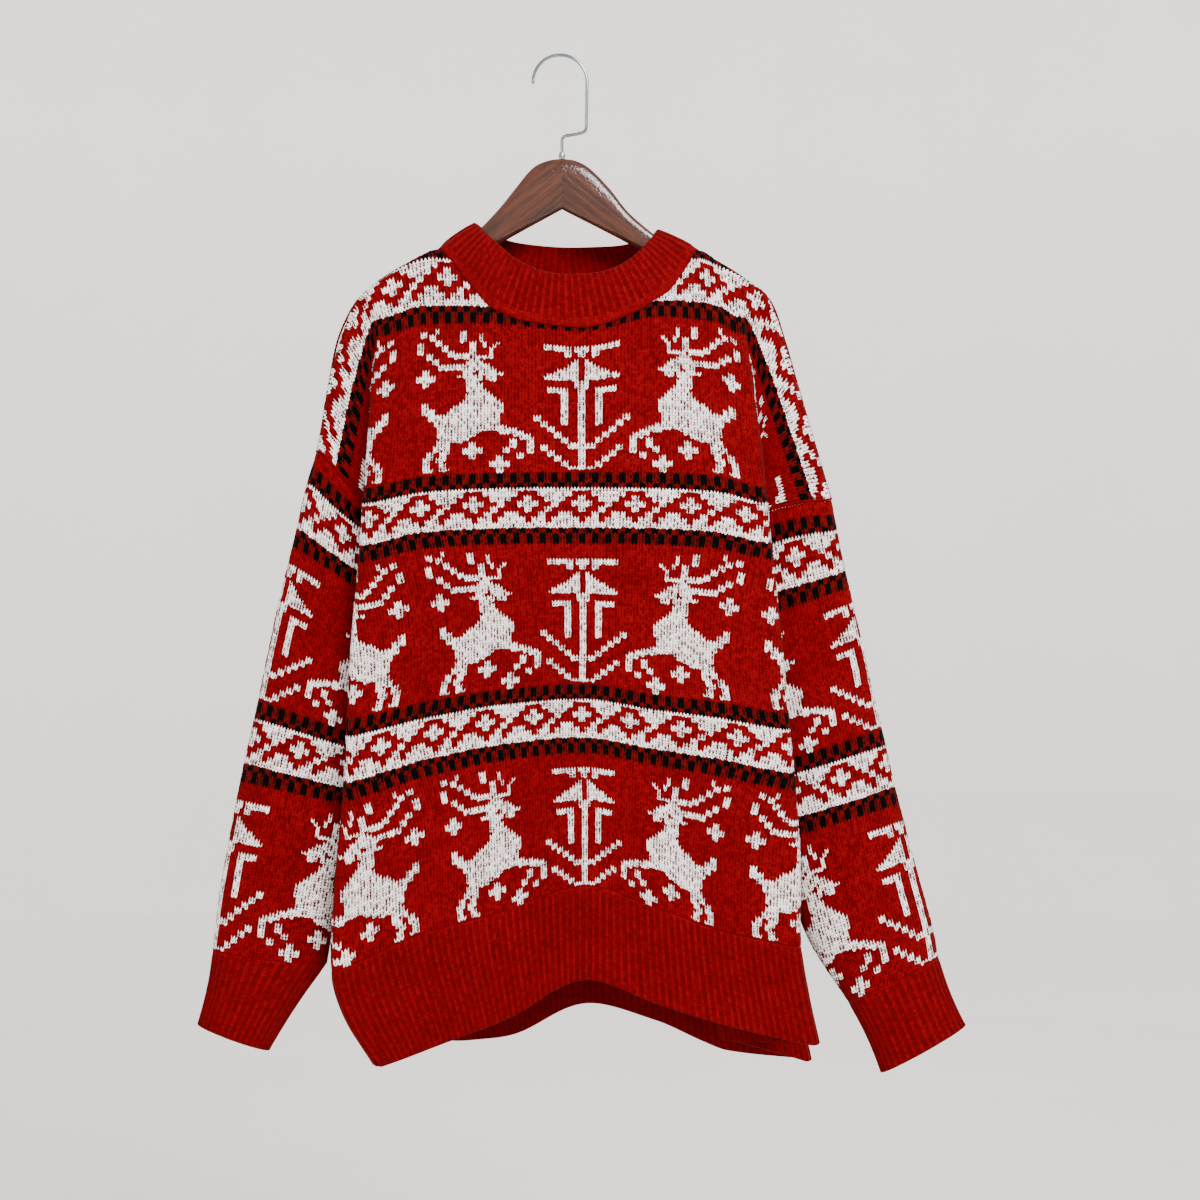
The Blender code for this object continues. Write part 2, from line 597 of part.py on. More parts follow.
def cuff(side, sleeve_outer, sleeve_inner, material, name):
    """Ribbed ring at the end of a sleeve."""
    count = 2 * CUFF_RIBS
    axis = sleeve_axis(side)
    share = np.arange(count) / count * len(sleeve_outer[-1])
    rings = []
    for edge in (sleeve_outer[-1], sleeve_inner[-1]):
        closed = np.concatenate([edge, edge[:1]]) + axis * SEAM_GAP
        rings.append(np.stack([np.interp(share, np.arange(len(closed)), closed[:, k])
                               for k in range(3)], axis=1))
    out, ins = (np.array(corner) for corner in CUFF_END[side])
    angles = np.arange(count) / count * 2 * math.pi
    across = (1 - np.cos(angles)) / 2
    flat = out + (ins - out) * across[:, None]
    mouth = np.stack([flat[:, 0], -np.sin(angles) * CUFF_DEPTH, flat[:, 1]], axis=1)
    outer = np.array([rings[0], (rings[0] + mouth) / 2, mouth])
    normals = grid_normals(outer, True) * -side
    inner = outer - normals * WALL
    inner[0] = rings[1]
    ridge = RIB_HEIGHT * (np.arange(count) % 2)[None, :, None]
    return shell(name, outer + normals * ridge, inner[:, ::2], True, material)


# ---- collar ------------------------------------------------------------------------------
def neck_edges(panels):
    """Outer and inner points just above the neckline: front left to right, back right to left."""
    edges = []
    for face in (FRONT, BACK):
        outer, inner, stitches = panels[face]
        ends = NECKLINE[face][0, 0] - 0.1, NECKLINE[face][-1, 0] + 0.1
        inside = np.flatnonzero((stitches[0] > ends[0]) & (stitches[0] < ends[1]))
        edge = beyond(outer[0, inside], outer[1, inside], inner[0, inside], NECK_GAP)
        for k, neighbour in ((0, inside[0] - 1), (-1, inside[-1] + 1)):
            step = unit(outer[0, inside[k]] - outer[0, neighbour]) * NECK_CORNER_GAP
            edge[0][k] = outer[0, inside[k]] + step
            edge[1][k] = inner[0, inside[k]] + step
        edges.append(edge)
    return edges[0], [edge[::-1] for edge in edges[1]]


def spread(count, path, *beside):
    """Points at equal steps along a path, without its last point, and those beside them."""
    lengths = np.concatenate([[0], np.cumsum(np.linalg.norm(np.diff(path, axis=0), axis=1))])
    at = np.arange(count) / count * lengths[-1]
    return [np.stack([np.interp(at, lengths, line[:, k]) for k in range(3)], axis=1)
            for line in (path, *beside)]


def collar(panels, material):
    """Ribbed mock neck, from the neckline up to its rim."""
    front_count = 2 * round(COLLAR_RIBS * COLLAR_FRONT_SHARE)
    counts = (front_count, 2 * COLLAR_RIBS - front_count)
    bases = [spread(count, outer, inner) for (outer, inner), count in zip(neck_edges(panels), counts)]
    base_outer = np.concatenate([outer for outer, _ in bases])
    base_inner = np.concatenate([inner for _, inner in bases])
    right = int(np.argmax(COLLAR_RIM[:, 0]))
    closed = np.concatenate([COLLAR_RIM[-2:], COLLAR_RIM, COLLAR_RIM[:3]])
    knots = np.arange(len(closed)) - 2.0
    fine = smooth(knots, closed, np.linspace(0, len(COLLAR_RIM), len(COLLAR_RIM) * RIM_STEPS + 1))
    halves = (fine[:right * RIM_STEPS + 1], fine[right * RIM_STEPS:])
    rim = np.concatenate([spread(count, path)[0] for path, count in zip(halves, counts)])
    outer = np.array([rim, (rim + base_outer) / 2, base_outer])
    normals = grid_normals(outer, True)
    outer[1] += normals[1] * COLLAR_BULGE
    inner = outer - normals * WALL
    inner[2] = base_inner
    normals[2] = unit(base_outer - base_inner)
    ridge = RIB_HEIGHT * (np.arange(len(rim)) % 2)[None, :, None]
    return shell("collar", outer + normals * ridge, inner[:, ::2], True, material)


# ---- hanger ------------------------------------------------------------------------------
def under_shoulder(side):
    """Top edge of the wood where the cloth rests on it."""
    knots = SHOULDER[side][2:4, 0]
    order = np.argsort(SHOULDER[side][:, 0])
    line = [smooth(SHOULDER[side][order, 0], SHOULDER[side][order, 2:], knots + side * step)
            for step in (-0.5, 0, 0.5)]
    run = unit(line[2] - line[0])
    return line[1] + np.stack([side * run[:, 1], -side * run[:, 0]], axis=1) * ARM_DROP


def hanger_half(side, material):
    """One half of the wooden hanger: its outline, as thick as the arm, with rounded edges."""
    bm = bmesh.new()
    outline = [*ARM_TOP[side], *under_shoulder(side), *ARM_FOOT[side]]
    corners = [bm.verts.new((x * MM, -ARM_HALF * MM, z * MM)) for x, z in outline]
    face = bm.faces.new(corners)
    moved = bmesh.ops.extrude_face_region(bm, geom=[face])["geom"]
    bmesh.ops.translate(bm, vec=(0, 2 * ARM_HALF * MM, 0),
                        verts=[item for item in moved if isinstance(item, bmesh.types.BMVert)])
    bmesh.ops.recalc_face_normals(bm, faces=bm.faces)
    joint = outline[0][0] * MM
    rims = [edge for edge in bm.edges
            if abs(edge.verts[0].co.y - edge.verts[1].co.y) < 1e-6
            and not all(abs(vert.co.x - joint) < 1e-6 for vert in edge.verts)]
    bmesh.ops.bevel(bm, geom=rims, offset=ARM_ROUND * MM, segments=3, profile=0.5, affect="EDGES")
    return finish(bm, "hanger_left" if side == LEFT else "hanger_right", material)


def arc_points(centre, radius, start, end, steps):
    """Points along an arc in the hanger's plane, angles in degrees from +X towards +Z."""
    return [(centre[0] + radius * math.cos(a), centre[1] + radius * math.sin(a))
            for a in np.radians(np.linspace(start, end, steps))]


def hook(material):
    """Bent wire: a half circle, a straight leg, a short run to the middle and down to the ferrule."""
    path = np.array([*arc_points((0, WIRE_R - HOOK_R), HOOK_R, 184, 0, 19), *HOOK_LEG,
                     *arc_points(*HOOK_ELBOW, 4), *HOOK_RUN, *arc_points(*HOOK_FOOT, 4), *HOOK_STEM])
    run = unit(np.gradient(path, axis=0))
    rings = []
    for (x, z), (run_x, run_z) in zip(path, run):
        rings.append([(x - run_z * across, y, z + run_x * across)
                      for across, y in arc_points((0, 0), WIRE_R, 0, 360, WIRE_SIDES + 1)[:-1]])
    bm = bmesh.new()
    rings = [[bm.verts.new(np.array(point) * MM) for point in ring] for ring in rings]
    for ring, following in zip(rings, rings[1:]):
        for j in range(WIRE_SIDES):
            k = (j + 1) % WIRE_SIDES
            bm.faces.new((ring[j], ring[k], following[k], following[j]))
    bm.faces.new(rings[0])
    bm.faces.new(rings[-1])
    return finish(bm, "hook", material)


def ferrule(material):
    """Plated collar at the foot of the hook."""
    bm = bmesh.new()
    bmesh.ops.create_cone(bm, cap_ends=True, segments=20, radius1=FERRULE_R * MM,
                          radius2=FERRULE_R * FERRULE_TAPER * MM, depth=(FERRULE_TOP - FERRULE_BOTTOM) * MM)
    middle = (HANGER_X * MM, 0, (FERRULE_TOP + FERRULE_BOTTOM) / 2 * MM)
    bmesh.ops.translate(bm, vec=middle, verts=bm.verts)
    return finish(bm, "ferrule", material)


for existing in list(bpy.data.objects):
    bpy.data.objects.remove(existing)

KNIT = principled("red_jacquard_knit", (0.42, 0.012, 0.01), 0.9)
RIB = principled("red_rib_knit", (0.36, 0.01, 0.008), 0.9)
WOOD = principled("varnished_wood", (0.09, 0.03, 0.02), 0.25)
STEEL = principled("plated_steel", (0.75, 0.75, 0.76), 0.15, 1.0)

PANELS = {face: panel_walls(face) for face in (FRONT, BACK)}
for face, name in ((FRONT, "front"), (BACK, "back")):
    shell(name, PANELS[face][0], PANELS[face][1], False, KNIT)
    hem_band(face, *PANELS[face], RIB, "hem_" + name)
for side, name in ((LEFT, "left"), (RIGHT, "right")):
    sleeve_outer, sleeve_inner = sleeve_walls(side, PANELS)
    shell("sleeve_" + name, sleeve_outer, sleeve_inner, True, KNIT)
    cuff(side, sleeve_outer, sleeve_inner, RIB, "cuff_" + name)
    hanger_half(side, WOOD)
collar(PANELS, RIB)
hook(STEEL)
ferrule(STEEL)
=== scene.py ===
import math

import bmesh
import bpy
import numpy as np
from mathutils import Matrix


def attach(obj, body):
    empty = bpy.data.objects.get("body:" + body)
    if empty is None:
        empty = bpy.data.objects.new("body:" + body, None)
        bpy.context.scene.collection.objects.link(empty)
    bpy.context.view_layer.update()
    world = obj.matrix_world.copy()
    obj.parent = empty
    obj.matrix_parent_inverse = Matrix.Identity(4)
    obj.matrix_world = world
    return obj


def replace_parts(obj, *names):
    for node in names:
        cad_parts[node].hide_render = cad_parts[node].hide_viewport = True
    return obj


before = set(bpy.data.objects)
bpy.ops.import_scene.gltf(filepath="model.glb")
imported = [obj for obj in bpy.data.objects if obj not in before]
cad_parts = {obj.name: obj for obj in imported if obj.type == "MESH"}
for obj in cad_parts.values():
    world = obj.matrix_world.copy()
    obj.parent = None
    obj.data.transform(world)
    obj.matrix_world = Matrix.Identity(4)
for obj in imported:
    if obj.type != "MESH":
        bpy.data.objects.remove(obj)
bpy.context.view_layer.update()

# ---- Front and back ----------------------------------------------------------------------
# Two panels of three-colour jacquard in soft acrylic yarn, 210 stitches wide and 243 rows long. The
# machine knits each one flat, and they are linked at the shoulders and the side seams. They hang from
# the hanger with their sides folded back towards the seams.
MM = 0.001
LEFT, RIGHT = -1, 1
FRONT, BACK = -1, 1
SIDES = ((LEFT, "left"), (RIGHT, "right"))
FACES = ((FRONT, "front"), (BACK, "back"))
WALL = 2.6              # thickness of the knit
FOLD_R = 8.0            # the cloth's outer radius at the long side folds
SEAM_R = 3.5            # and where it turns into the side seam
FOLD_LEAD = 0.2         # first station past a fold, on the way to the middle of the cloth behind it
NET_STEP = 3.0          # the net that carries the form is ruled in steps of this size
NET_HALF = 102          # steps from the middle to either side edge
NET_HEM = 240           # net row at the top of the rib
NET_END = 276           # and at its lower edge
YOKE_ROW = 27           # above it the levels bend up to the shoulder line
MIDDLE_X = 22.8         # the middle stitch hangs here
SIDE_STITCHES = 105     # real stitches from the middle to either side edge
ROWS = 243              # real rows of jacquard
V_DROP = 0.9            # the legs of a stitch meet this share of a row lower in its middle
V_DEPTH = 0.15          # and this far in
STITCH_SHIFT = 0.16     # spread of the stitches' small shifts
TIGHT_ROW = 189         # below it the rib draws the rows together

# Folds down both sides. Columns alike on both: row, front y, back y, turn (degrees), seam y, bend at
# the seam, bulge and sag of the cloth between fold and seam. Each side's own columns, in the same
# rows: fold x, front z, back z, seam x, seam z
FOLDS = np.array([
    (27, -18, 17, 80, 13, 0, 0, 0),
    (40, -28, 26, 120, 13.5, 0, 0, 0),
    (54, -35, 32, 140, 12, 0, -3.4, 0),
    (67, -40, 35, 150, 12, 6, 3.5, 9),
    (81, -43, 37, 155, 9, 7, 5.5, 12),
    (95, -44, 38, 157, 0.15, 6, 5.5, 6.5),
    (108, -44.5, 38, 157, 0.15, 4, 3, 3),
    (135, -45, 38, 157, 0.15, 3.5, 3, 0),
    (162, -45.5, 39, 157, 0.15, 3.5, 3, 0),
    (189, -46, 40, 157, 0.15, 3.5, 3, 0),
    (216, -46, 40, 157, 0.15, 3.5, 3, 0),
    (240, -46, 40, 157, 0.15, 3.5, 3, 0),
    (258, -46, 41, 157, 0.15, 3.5, 3, 0),
    (276, -46, 42, 157, 0.15, 3.5, 3, 0),
])
SIDE_FOLDS = {
    LEFT: np.array([
        (-165, -253, -253, -190, -382), (-167, -286, -286, -168, -400), (-168.5, -321, -321, -146, -412),
        (-170.5, -354, -354, -125, -424), (-173, -389, -388, -104, -441), (-175.5, -422, -422, -86, -465),
        (-177.5, -455, -456, -78, -495), (-183.7, -522, -527, -84, -560), (-187.6, -592, -600, -98, -625),
        (-191.6, -664, -673, -110, -690), (-198.6, -742, -746, -119, -752),
        (-201.3, -814, -812, -124, -805), (-190, -856, -852, -116, -846), (-163, -900, -890, -104, -885),
    ]),
    RIGHT: np.array([
        (166.5, -251, -251, 216, -401), (171, -284, -284, 188, -408), (175, -320, -320, 163, -420),
        (179.5, -353, -353, 141, -430), (182.7, -388, -388, 119, -446), (186, -421, -422, 100, -470),
        (189.3, -452, -456, 92, -499), (196.4, -520, -527, 97, -562), (202.5, -587, -602, 109, -626),
        (209, -655, -677, 121, -690), (213.5, -726, -755, 130, -752), (213.5, -793, -826, 135, -805),
        (220.5, -838, -868, 140, -846), (230, -881, -911, 147, -885),
    ]),
}
SEAM_TURNS = ((0.6, 1.0, 0.08), (0.174, 0.55, 0.04))
# row, mid y, mid z, left quarter y, z, left outer y, z, right quarter y, z, right outer y, z
FACE_TABLE = {
    FRONT: np.array([
        (27, -42, -251.5, -38, -244, -24, -244.4, -36, -238, -22, -242),
        (54, -46, -314, -45, -310, -38, -312, -44, -307, -37, -310),
        (81, -49, -375.8, -49, -376.2, -46, -380.5, -49, -376, -46, -379.5),
        (108, -51, -438.6, -50, -439.2, -48, -444.3, -50, -439.5, -48, -443.6),
        (162, -52, -561.7, -51, -567, -49, -579.5, -51, -570.4, -49, -577.8),
        (189, -53, -621.9, -52, -629.8, -50, -646, -52, -632.5, -50, -643),
        (240, -54, -739.1, -54, -763, -52, -783.5, -54, -757, -52, -778.5),
        (276, -56, -821.8, -56, -854.3, -54, -878, -56, -843.7, -54, -863.8),
    ]),
    BACK: np.array([
        (27, 34, -252.6, 32, -248, 22, -244, 31, -248, 21, -243),
        (54, 37, -318, 36, -314, 32, -312, 36, -313, 31, -312),
        (81, 38, -384, 38, -382, 37, -380, 38, -382, 37, -380),
        (108, 39, -450, 39, -450, 38, -450, 39, -450, 38, -450),
        (162, 40, -584, 40, -588, 39, -592, 40, -587, 39, -592),
        (189, 42, -650, 42, -659, 41, -665, 42, -657, 41, -665),
        (240, 44, -776, 44, -803, 42, -812, 44, -792, 42, -818),
        (276, 46, -861, 46, -889, 44, -895, 46, -877, 44, -904),
    ]),
}
QUARTER = {LEFT: -26, RIGHT: 20}
OUTER = {LEFT: -50, RIGHT: 40}
NECK_GUIDE = {
    FRONT: {0: (-31, -188), LEFT: (-20, -180), RIGHT: (-19, -176)},
    BACK: {0: (27, -186), LEFT: (20, -181), RIGHT: (19, -181)},
}
# Shoulder line over the hanger and down the dropped shoulder: step, row, x, z
SHOULDER = {
    LEFT: np.array([
        (-42.4, 0, -109.8, -173.7), (-50, 3.5, -137, -185.5), (-57.4, 6, -163.8, -201.6),
        (-66, 8.5, -184, -221), (-73.4, 10, -198.5, -250.2), (-82, 11, -206.1, -283.5),
        (-89.4, 11, -210.6, -313.2), (-102, 11, -218.7, -355.5),
    ]),
    RIGHT: np.array([
        (33, 0, 125.1, -174.6), (40, 2, 141, -183.5), (46, 4, 162, -196.5), (54.6, 7, 189, -219),
        (62, 9, 201.6, -252.9), (70.6, 10.5, 211.5, -287), (86.6, 11, 228.6, -345.6),
        (102, 11, 243.9, -397.8),
    ]),
}
SHOULDER_ROLL = np.array([(0, 0.15, 0), (2, 5.8, 0.7), (4.5, 10.6, 5.2)])
# Neckline: step, row
NECKLINE = {
    FRONT: np.array([(-42.4, 0), (-41, 4), (-35, 12), (-28, 20.5), (-20, 24), (0, 24.5),
                     (10, 24), (17, 22.5), (25, 17), (31, 7), (33, 0)]),
    BACK: np.array([(-42.4, 0), (-38, 5), (-28, 7.5), (0, 8), (20, 7.5), (29, 5), (33, 0)]),
}
# Where the real stitches of the front lie on the net. The rib gathers the middle of the lower rows.
# net row: steps at stitches -105, -83.6, -53.5, -32, -16, 0, 16, 32, 53.5, 83.6 and 105
DRAW_AT = (-105, -83.6, -53.5, -32, -16, 0, 16, 32, 53.5, 83.6, 105)
DRAW = {
    FRONT: np.array([
        (0, -102, -80, -53, -33, -17, -1, 15.2, 29.7, 49.3, 79, 102),
        (60, -102, -80, -53, -33, -17, -1, 15.2, 29.7, 49.3, 79, 102),
        (94, -102, -81.5, -53.6, -32.6, -16.7, -0.9, 14.7, 30.8, 53, 82, 102),
        (128, -102, -78, -48, -29.2, -15, -0.6, 14, 28.4, 48.2, 78, 102),
        (150, -102, -76, -47, -28.4, -14.6, -0.6, 13.8, 27.8, 47, 77, 102),
        (175, -102, -78.5, -49.5, -29, -15, -0.9, 12.9, 27.9, 50.5, 79, 102),
        (205, -102, -72, -43.5, -26.2, -13.2, -0.1, 12.6, 26, 44, 73, 102),
        (240, -102, -70, -42, -25, -12.5, 0, 12, 25.2, 42.8, 71, 102),
    ]),
    BACK: np.array([
        (0, -102, -81.2, -52, -31.1, -15.5, 0, 15.5, 31.1, 52, 81.2, 102),
        (240, -102, -80, -50.5, -30, -15, 0, 15, 30, 50.5, 80, 102),
    ]),
}
# Creases and hollows that hanging leaves in the cloth: x and z of both ends, width, height outwards.
# They still have a share of that height at both ends
PANEL_ENDS = 0.35
CREASES = {
    FRONT: ((-150, -262, -96, -430, 22, 1.6), (-128, -255, -60, -392, 15, -1.2),
            (152, -262, 118, -420, 20, 1.8), (136, -250, 92, -350, 14, -1.3),
            (-60, -700, -46, -800, 16, 1.8), (20, -690, 16, -800, 26, -1.6),
            (84, -640, 100, -790, 18, 1.7), (-120, -560, -134, -800, 20, -1.5),
            (-30, -330, 60, -352, 20, 1.1), (140, -470, 165, -720, 20, 1.5),
            (-150, -430, -160, -600, 16, 1.3), (-15, -470, -40, -640, 24, 1.2)),
    BACK: ((-150, -255, -70, -470, 26, 2.6), (148, -250, 60, -500, 24, 2.4),
           (-100, -240, -20, -380, 16, -1.8), (110, -240, 40, -390, 18, -1.6),
           (-90, -560, -110, -860, 24, 2.8), (-20, -600, -30, -850, 28, -2.2),
           (70, -520, 96, -860, 22, 3.0), (150, -560, 170, -860, 20, -1.8),
           (-150, -470, -155, -760, 18, 1.8), (10, -420, 24, -560, 30, 1.6)),
}


def smooth(knots, values, at):
    """Smooth curve through the values at the knots, straight beyond both ends."""
    knots = np.asarray(knots, float)
    values = np.asarray(values, float)
    at = np.asarray(at, float)
    steps = np.diff(knots)
    slopes = np.diff(values, axis=0) / steps[:, None]
    chords = (values[2:] - values[:-2]) / (knots[2:] - knots[:-2])[:, None]
    tangents = np.concatenate([slopes[:1], chords, slopes[-1:]])
    k = np.clip(np.searchsorted(knots, at, side="right") - 1, 0, len(steps) - 1)
    step = steps[k][:, None]
    t = np.clip((at - knots[k]) / steps[k], 0, 1)[:, None]
    inside = (values[k] * (2 * t ** 3 - 3 * t ** 2 + 1)
              + tangents[k] * step * (t ** 3 - 2 * t ** 2 + t)
              + values[k + 1] * (3 * t ** 2 - 2 * t ** 3)
              + tangents[k + 1] * step * (t ** 3 - t ** 2))
    over = (np.minimum(at - knots[0], 0)[:, None] * tangents[0]
            + np.maximum(at - knots[-1], 0)[:, None] * tangents[-1])
    return inside + over


def unit(vectors):
    """The same vectors at length 1."""
    return vectors / np.maximum(np.linalg.norm(vectors, axis=-1, keepdims=True), 1e-9)


def shoulder_row(step):
    """Row where the shoulder line cuts the net here; row 0 across the neck."""
    left, right = SHOULDER[LEFT], SHOULDER[RIGHT]
    steps = np.concatenate([left[::-1, 0], right[:, 0]])
    rows = np.concatenate([left[::-1, 1], right[:, 1]])
    return np.interp(step, steps, rows)


def shoulder_line(side, steps):
    """x and z of the shoulder line at these steps."""
    path = SHOULDER[side]
    order = np.argsort(path[:, 0])
    return smooth(path[order, 0], path[order, 2:], steps)


def shoulder_points(side, step, face):
    """Cloth rolling over the shoulder: levels and points."""
    here, ahead = shoulder_line(side, [step, step + side * 0.5])
    run = unit(ahead - here)
    inside = np.array([side * run[1], -side * run[0]])
    rolled = [here + inside * drop for drop in SHOULDER_ROLL[:, 2]]
    return list(SHOULDER_ROLL[:, 0]), [(x, face * y, z) for (x, z), y in zip(rolled, SHOULDER_ROLL[:, 1])]


def fold_stations(face, side, row):
    """Points of a side fold, from its start to the seam."""
    _, y_front, y_back, turn, seam_y, bend, bulge, sag, x, z_front, z_back, seam_x, seam_z = row
    y, z = (y_front, z_front) if face == FRONT else (y_back, z_back)
    centre = x - side * FOLD_R
    arc = [(centre + side * FOLD_R * math.sin(a), y - face * FOLD_R * (1 - math.cos(a)), z)
           for a in np.linspace(0, math.radians(turn), 4)]
    seam = np.array([seam_x, face * seam_y, seam_z])
    middle = (np.array(arc[-1]) + seam) / 2 + np.array([side * sag / 2, face * bulge, -sag])
    straight = 1 - min(bend / SEAM_R, 1)
    turns = [seam + np.array([side * out, face * forward, 0]) * bend + (middle - seam) * back * straight
             for out, forward, back in SEAM_TURNS]
    return arc + [arc[-1] + (middle - arc[-1]) * FOLD_LEAD, middle] + turns + [seam]


def fold_steps(side, row):
    """Where those points lie on the net."""
    x = np.interp(min(row, NET_HEM), FOLDS[:, 0], SIDE_FOLDS[side][:, 0])
    turn = math.radians(np.interp(row, FOLDS[:, 0], FOLDS[:, 3]))
    start = (x - side * FOLD_R - MIDDLE_X) / NET_STEP
    arc = [start + side * FOLD_R * turn * share / 3 / NET_STEP for share in range(4)]
    seam_arc = side * SEAM_R * math.pi / 2 / NET_STEP
    edge = side * NET_HALF
    middle = (arc[-1] + edge - seam_arc) / 2
    lead = arc[-1] + (middle - arc[-1]) * FOLD_LEAD
    return arc + [lead, middle, edge - seam_arc, edge - seam_arc / 2, edge]


def build_net(face, side):
    """Stations down one side of a panel: step by level, and point by level."""
    table = FACE_TABLE[face]
    rows, fold_rows = table[:, 0], FOLDS[:, 0]
    columns = ((1, 2), (3, 4), (5, 6)) if side == LEFT else ((1, 2), (7, 8), (9, 10))
    faces = []
    for step, (y_column, z_column) in zip((0, QUARTER[side], OUTER[side]), columns):
        fold_x = np.interp(rows, fold_rows, SIDE_FOLDS[side][:, 0]) - side * FOLD_R
        start = np.array([fold_steps(side, row)[0] for row in rows])
        x = MIDDLE_X + step * (fold_x - MIDDLE_X) / start
        faces.append(np.stack([x, table[:, y_column], table[:, z_column]], axis=1))
    folds = np.array([fold_stations(face, side, row) for row in np.hstack([FOLDS, SIDE_FOLDS[side]])])
    steps = np.array([fold_steps(side, row) for row in fold_rows])
    neck = SHOULDER[side][0, 0]
    starts = smooth(fold_rows, folds[:, 0], rows)
    neck_points = []
    for k, row in enumerate(rows):
        across = [0, QUARTER[side], OUTER[side], fold_steps(side, row)[0]]
        order = np.argsort(across)
        points = np.array([faces[0][k], faces[1][k], faces[2][k], starts[k]])
        neck_points.append(smooth(np.array(across)[order], points[order], [neck])[0])
    net = []
    for step, points in ((0, faces[0]), (QUARTER[side], faces[1])):
        guide = (MIDDLE_X + step * NET_STEP, *NECK_GUIDE[face][side if step else 0])
        net.append((step, [0, *rows], [guide, *points], None))
    for step, points in ((neck, neck_points), (OUTER[side], faces[2])):
        levels, roll = shoulder_points(side, step, face)
        net.append((step, [*levels, *rows], [*roll, *points], None))
    for k in range(folds.shape[1]):
        levels, roll = shoulder_points(side, steps[0, k], face)
        net.append((steps[0, k], [*levels, *fold_rows], [*roll, *folds[:, k]], (fold_rows, steps[:, k])))
    return net


def across_at(nets, level):
    """Steps and points of all stations from the left edge to the right edge, at one level."""
    halves = []
    for side in (LEFT, RIGHT):
        points = [smooth(levels, values, [level])[0] for _, levels, values, _ in nets[side]]
        steps = [step if moving is None else np.interp(level, *moving) for step, _, _, moving in nets[side]]
        halves.append((steps, points))
    (left_steps, left), (right_steps, right) = halves
    return np.array(left_steps[::-1] + right_steps[1:]), np.array(left[::-1] + right[1:])


def normals_of(grid):
    """Unit normals of a grid of points, rows down and columns across."""
    return unit(np.cross(np.gradient(grid, axis=1), -np.gradient(grid, axis=0)))


def sample(form, level, step):
    """Points of a form, or of its normals, between its half levels and half steps."""
    i = np.clip(level * 2, 0, form.shape[0] - 1.001)
    j = np.clip((step + NET_HALF) * 2, 0, form.shape[1] - 1.001)
    i0, j0 = i.astype(int), j.astype(int)
    a, b = (i - i0)[..., None], (j - j0)[..., None]
    return ((form[i0, j0] * (1 - a) + form[i0 + 1, j0] * a) * (1 - b)
            + (form[i0, j0 + 1] * (1 - a) + form[i0 + 1, j0 + 1] * a) * b)


def level_of(rows, steps):
    """Levels of the form where these rows lie: above the yoke row they bend up to the shoulders."""
    top = shoulder_row(steps)
    return np.where(rows < YOKE_ROW, (rows - top) / (1 - top / YOKE_ROW), rows)


def creased(points, normals, creases, least):
    """The points with the creases of both faces added. A crease is shallow at its ends, where it has
    the least share of its height."""
    lift = np.zeros(points.shape[:-1])
    for face in (FRONT, BACK):
        facing = np.clip(normals[..., 1] * face, 0, 1)
        for x0, z0, x1, z1, width, height in creases[face]:
            run = np.array([x1 - x0, z1 - z0], float)
            off = points[..., [0, 2]] - np.array([x0, z0])
            share = np.clip((off @ run) / (run @ run), 0, 1)
            away = np.linalg.norm(off - share[..., None] * run, axis=-1) / width
            ends = least + (1 - least) * np.sin(math.pi * np.clip(share, 0.02, 0.98))
            lift += face * height * facing * ends * np.exp(-away ** 2 * 1.6)
    return points + lift[..., None] * (0, 1, 0)


FORM = {}
FORM_NORMALS = {}
for face in (FRONT, BACK):
    nets = {side: build_net(face, side) for side in (LEFT, RIGHT)}
    ruled = np.linspace(-NET_HALF, NET_HALF, 4 * NET_HALF + 1)
    half_levels = np.arange(0, NET_END + 0.5, 0.5)
    FORM[face] = np.array([smooth(*across_at(nets, level), ruled) for level in half_levels])
    FORM_NORMALS[face] = normals_of(FORM[face])
    if FORM_NORMALS[face][:, :, 1].sum() * face < 0:
        FORM_NORMALS[face] = -FORM_NORMALS[face]


def surface(face, levels, steps):
    """Points of a face's form and the unit normals there."""
    return sample(FORM[face], levels, steps), unit(sample(FORM_NORMALS[face], levels, steps))


# Yarns, in the order of the colours in the material below: red, white and black, and the dark red
# blocks that the black yarn's floats show through
RED, WHITE, BLACK, FLOAT = 0, 1, 2, 3
BAND_ROWS = 27
LATTICE = """
oooooooooooooooo ooooo......ooooo ooooo......ooooo ooo....oo....ooo ooo....oo....ooo
o....oooooo....o o....oooooo....o .......oo....oo. .......oo....oo. .oooo......oo...
.oooo......oo... ooooooo..oooo..o ooooooo..oooo..o oooooooooooooooo oooooooooooooooo
""".split()


def knit_band(chart, first, shift):
    """Blocks of black, a white lattice with crosses, and blocks again; a repeat is 16 stitches."""
    for stitch in range(chart.shape[1]):
        column = (stitch - chart.shape[1] // 2 + shift) % 16
        tall = BLACK if column % 4 in (3, 0) else FLOAT
        low = BLACK if column % 4 in (1, 2) else FLOAT
        rows = [tall] * 4 + [low] * 2 + [WHITE if row[column] == "o" else RED for row in LATTICE]
        chart[first:first + BAND_ROWS, stitch] = rows + [low] * 2 + [tall] * 4


# The tree, in blocks: stitches from its middle, stitches wide, row, rows. Both halves are alike.
TREE = ([(0, 1, 20, 33), (0, 2, 6, 2), (0, 1, 8, 2), (3, 8, 6, 2), (3, 2, 8, 2), (0, 2, 19, 3),
         (4, 6, 22, 2), (4, 2, 22, 14), (0, 4, 43, 2), (0, 4, 52, 1)]
        + [(1, wide, 11 + row, 1) for row, wide in enumerate((1, 2, 3, 4, 6, 7, 9, 10))]
        + [(4 + 2 * k, 2, 41 - 2 * k, 2) for k in range(5)]
        + [(4 + 2 * k, 2, 50 - 2 * k, 2) for k in range(4)])
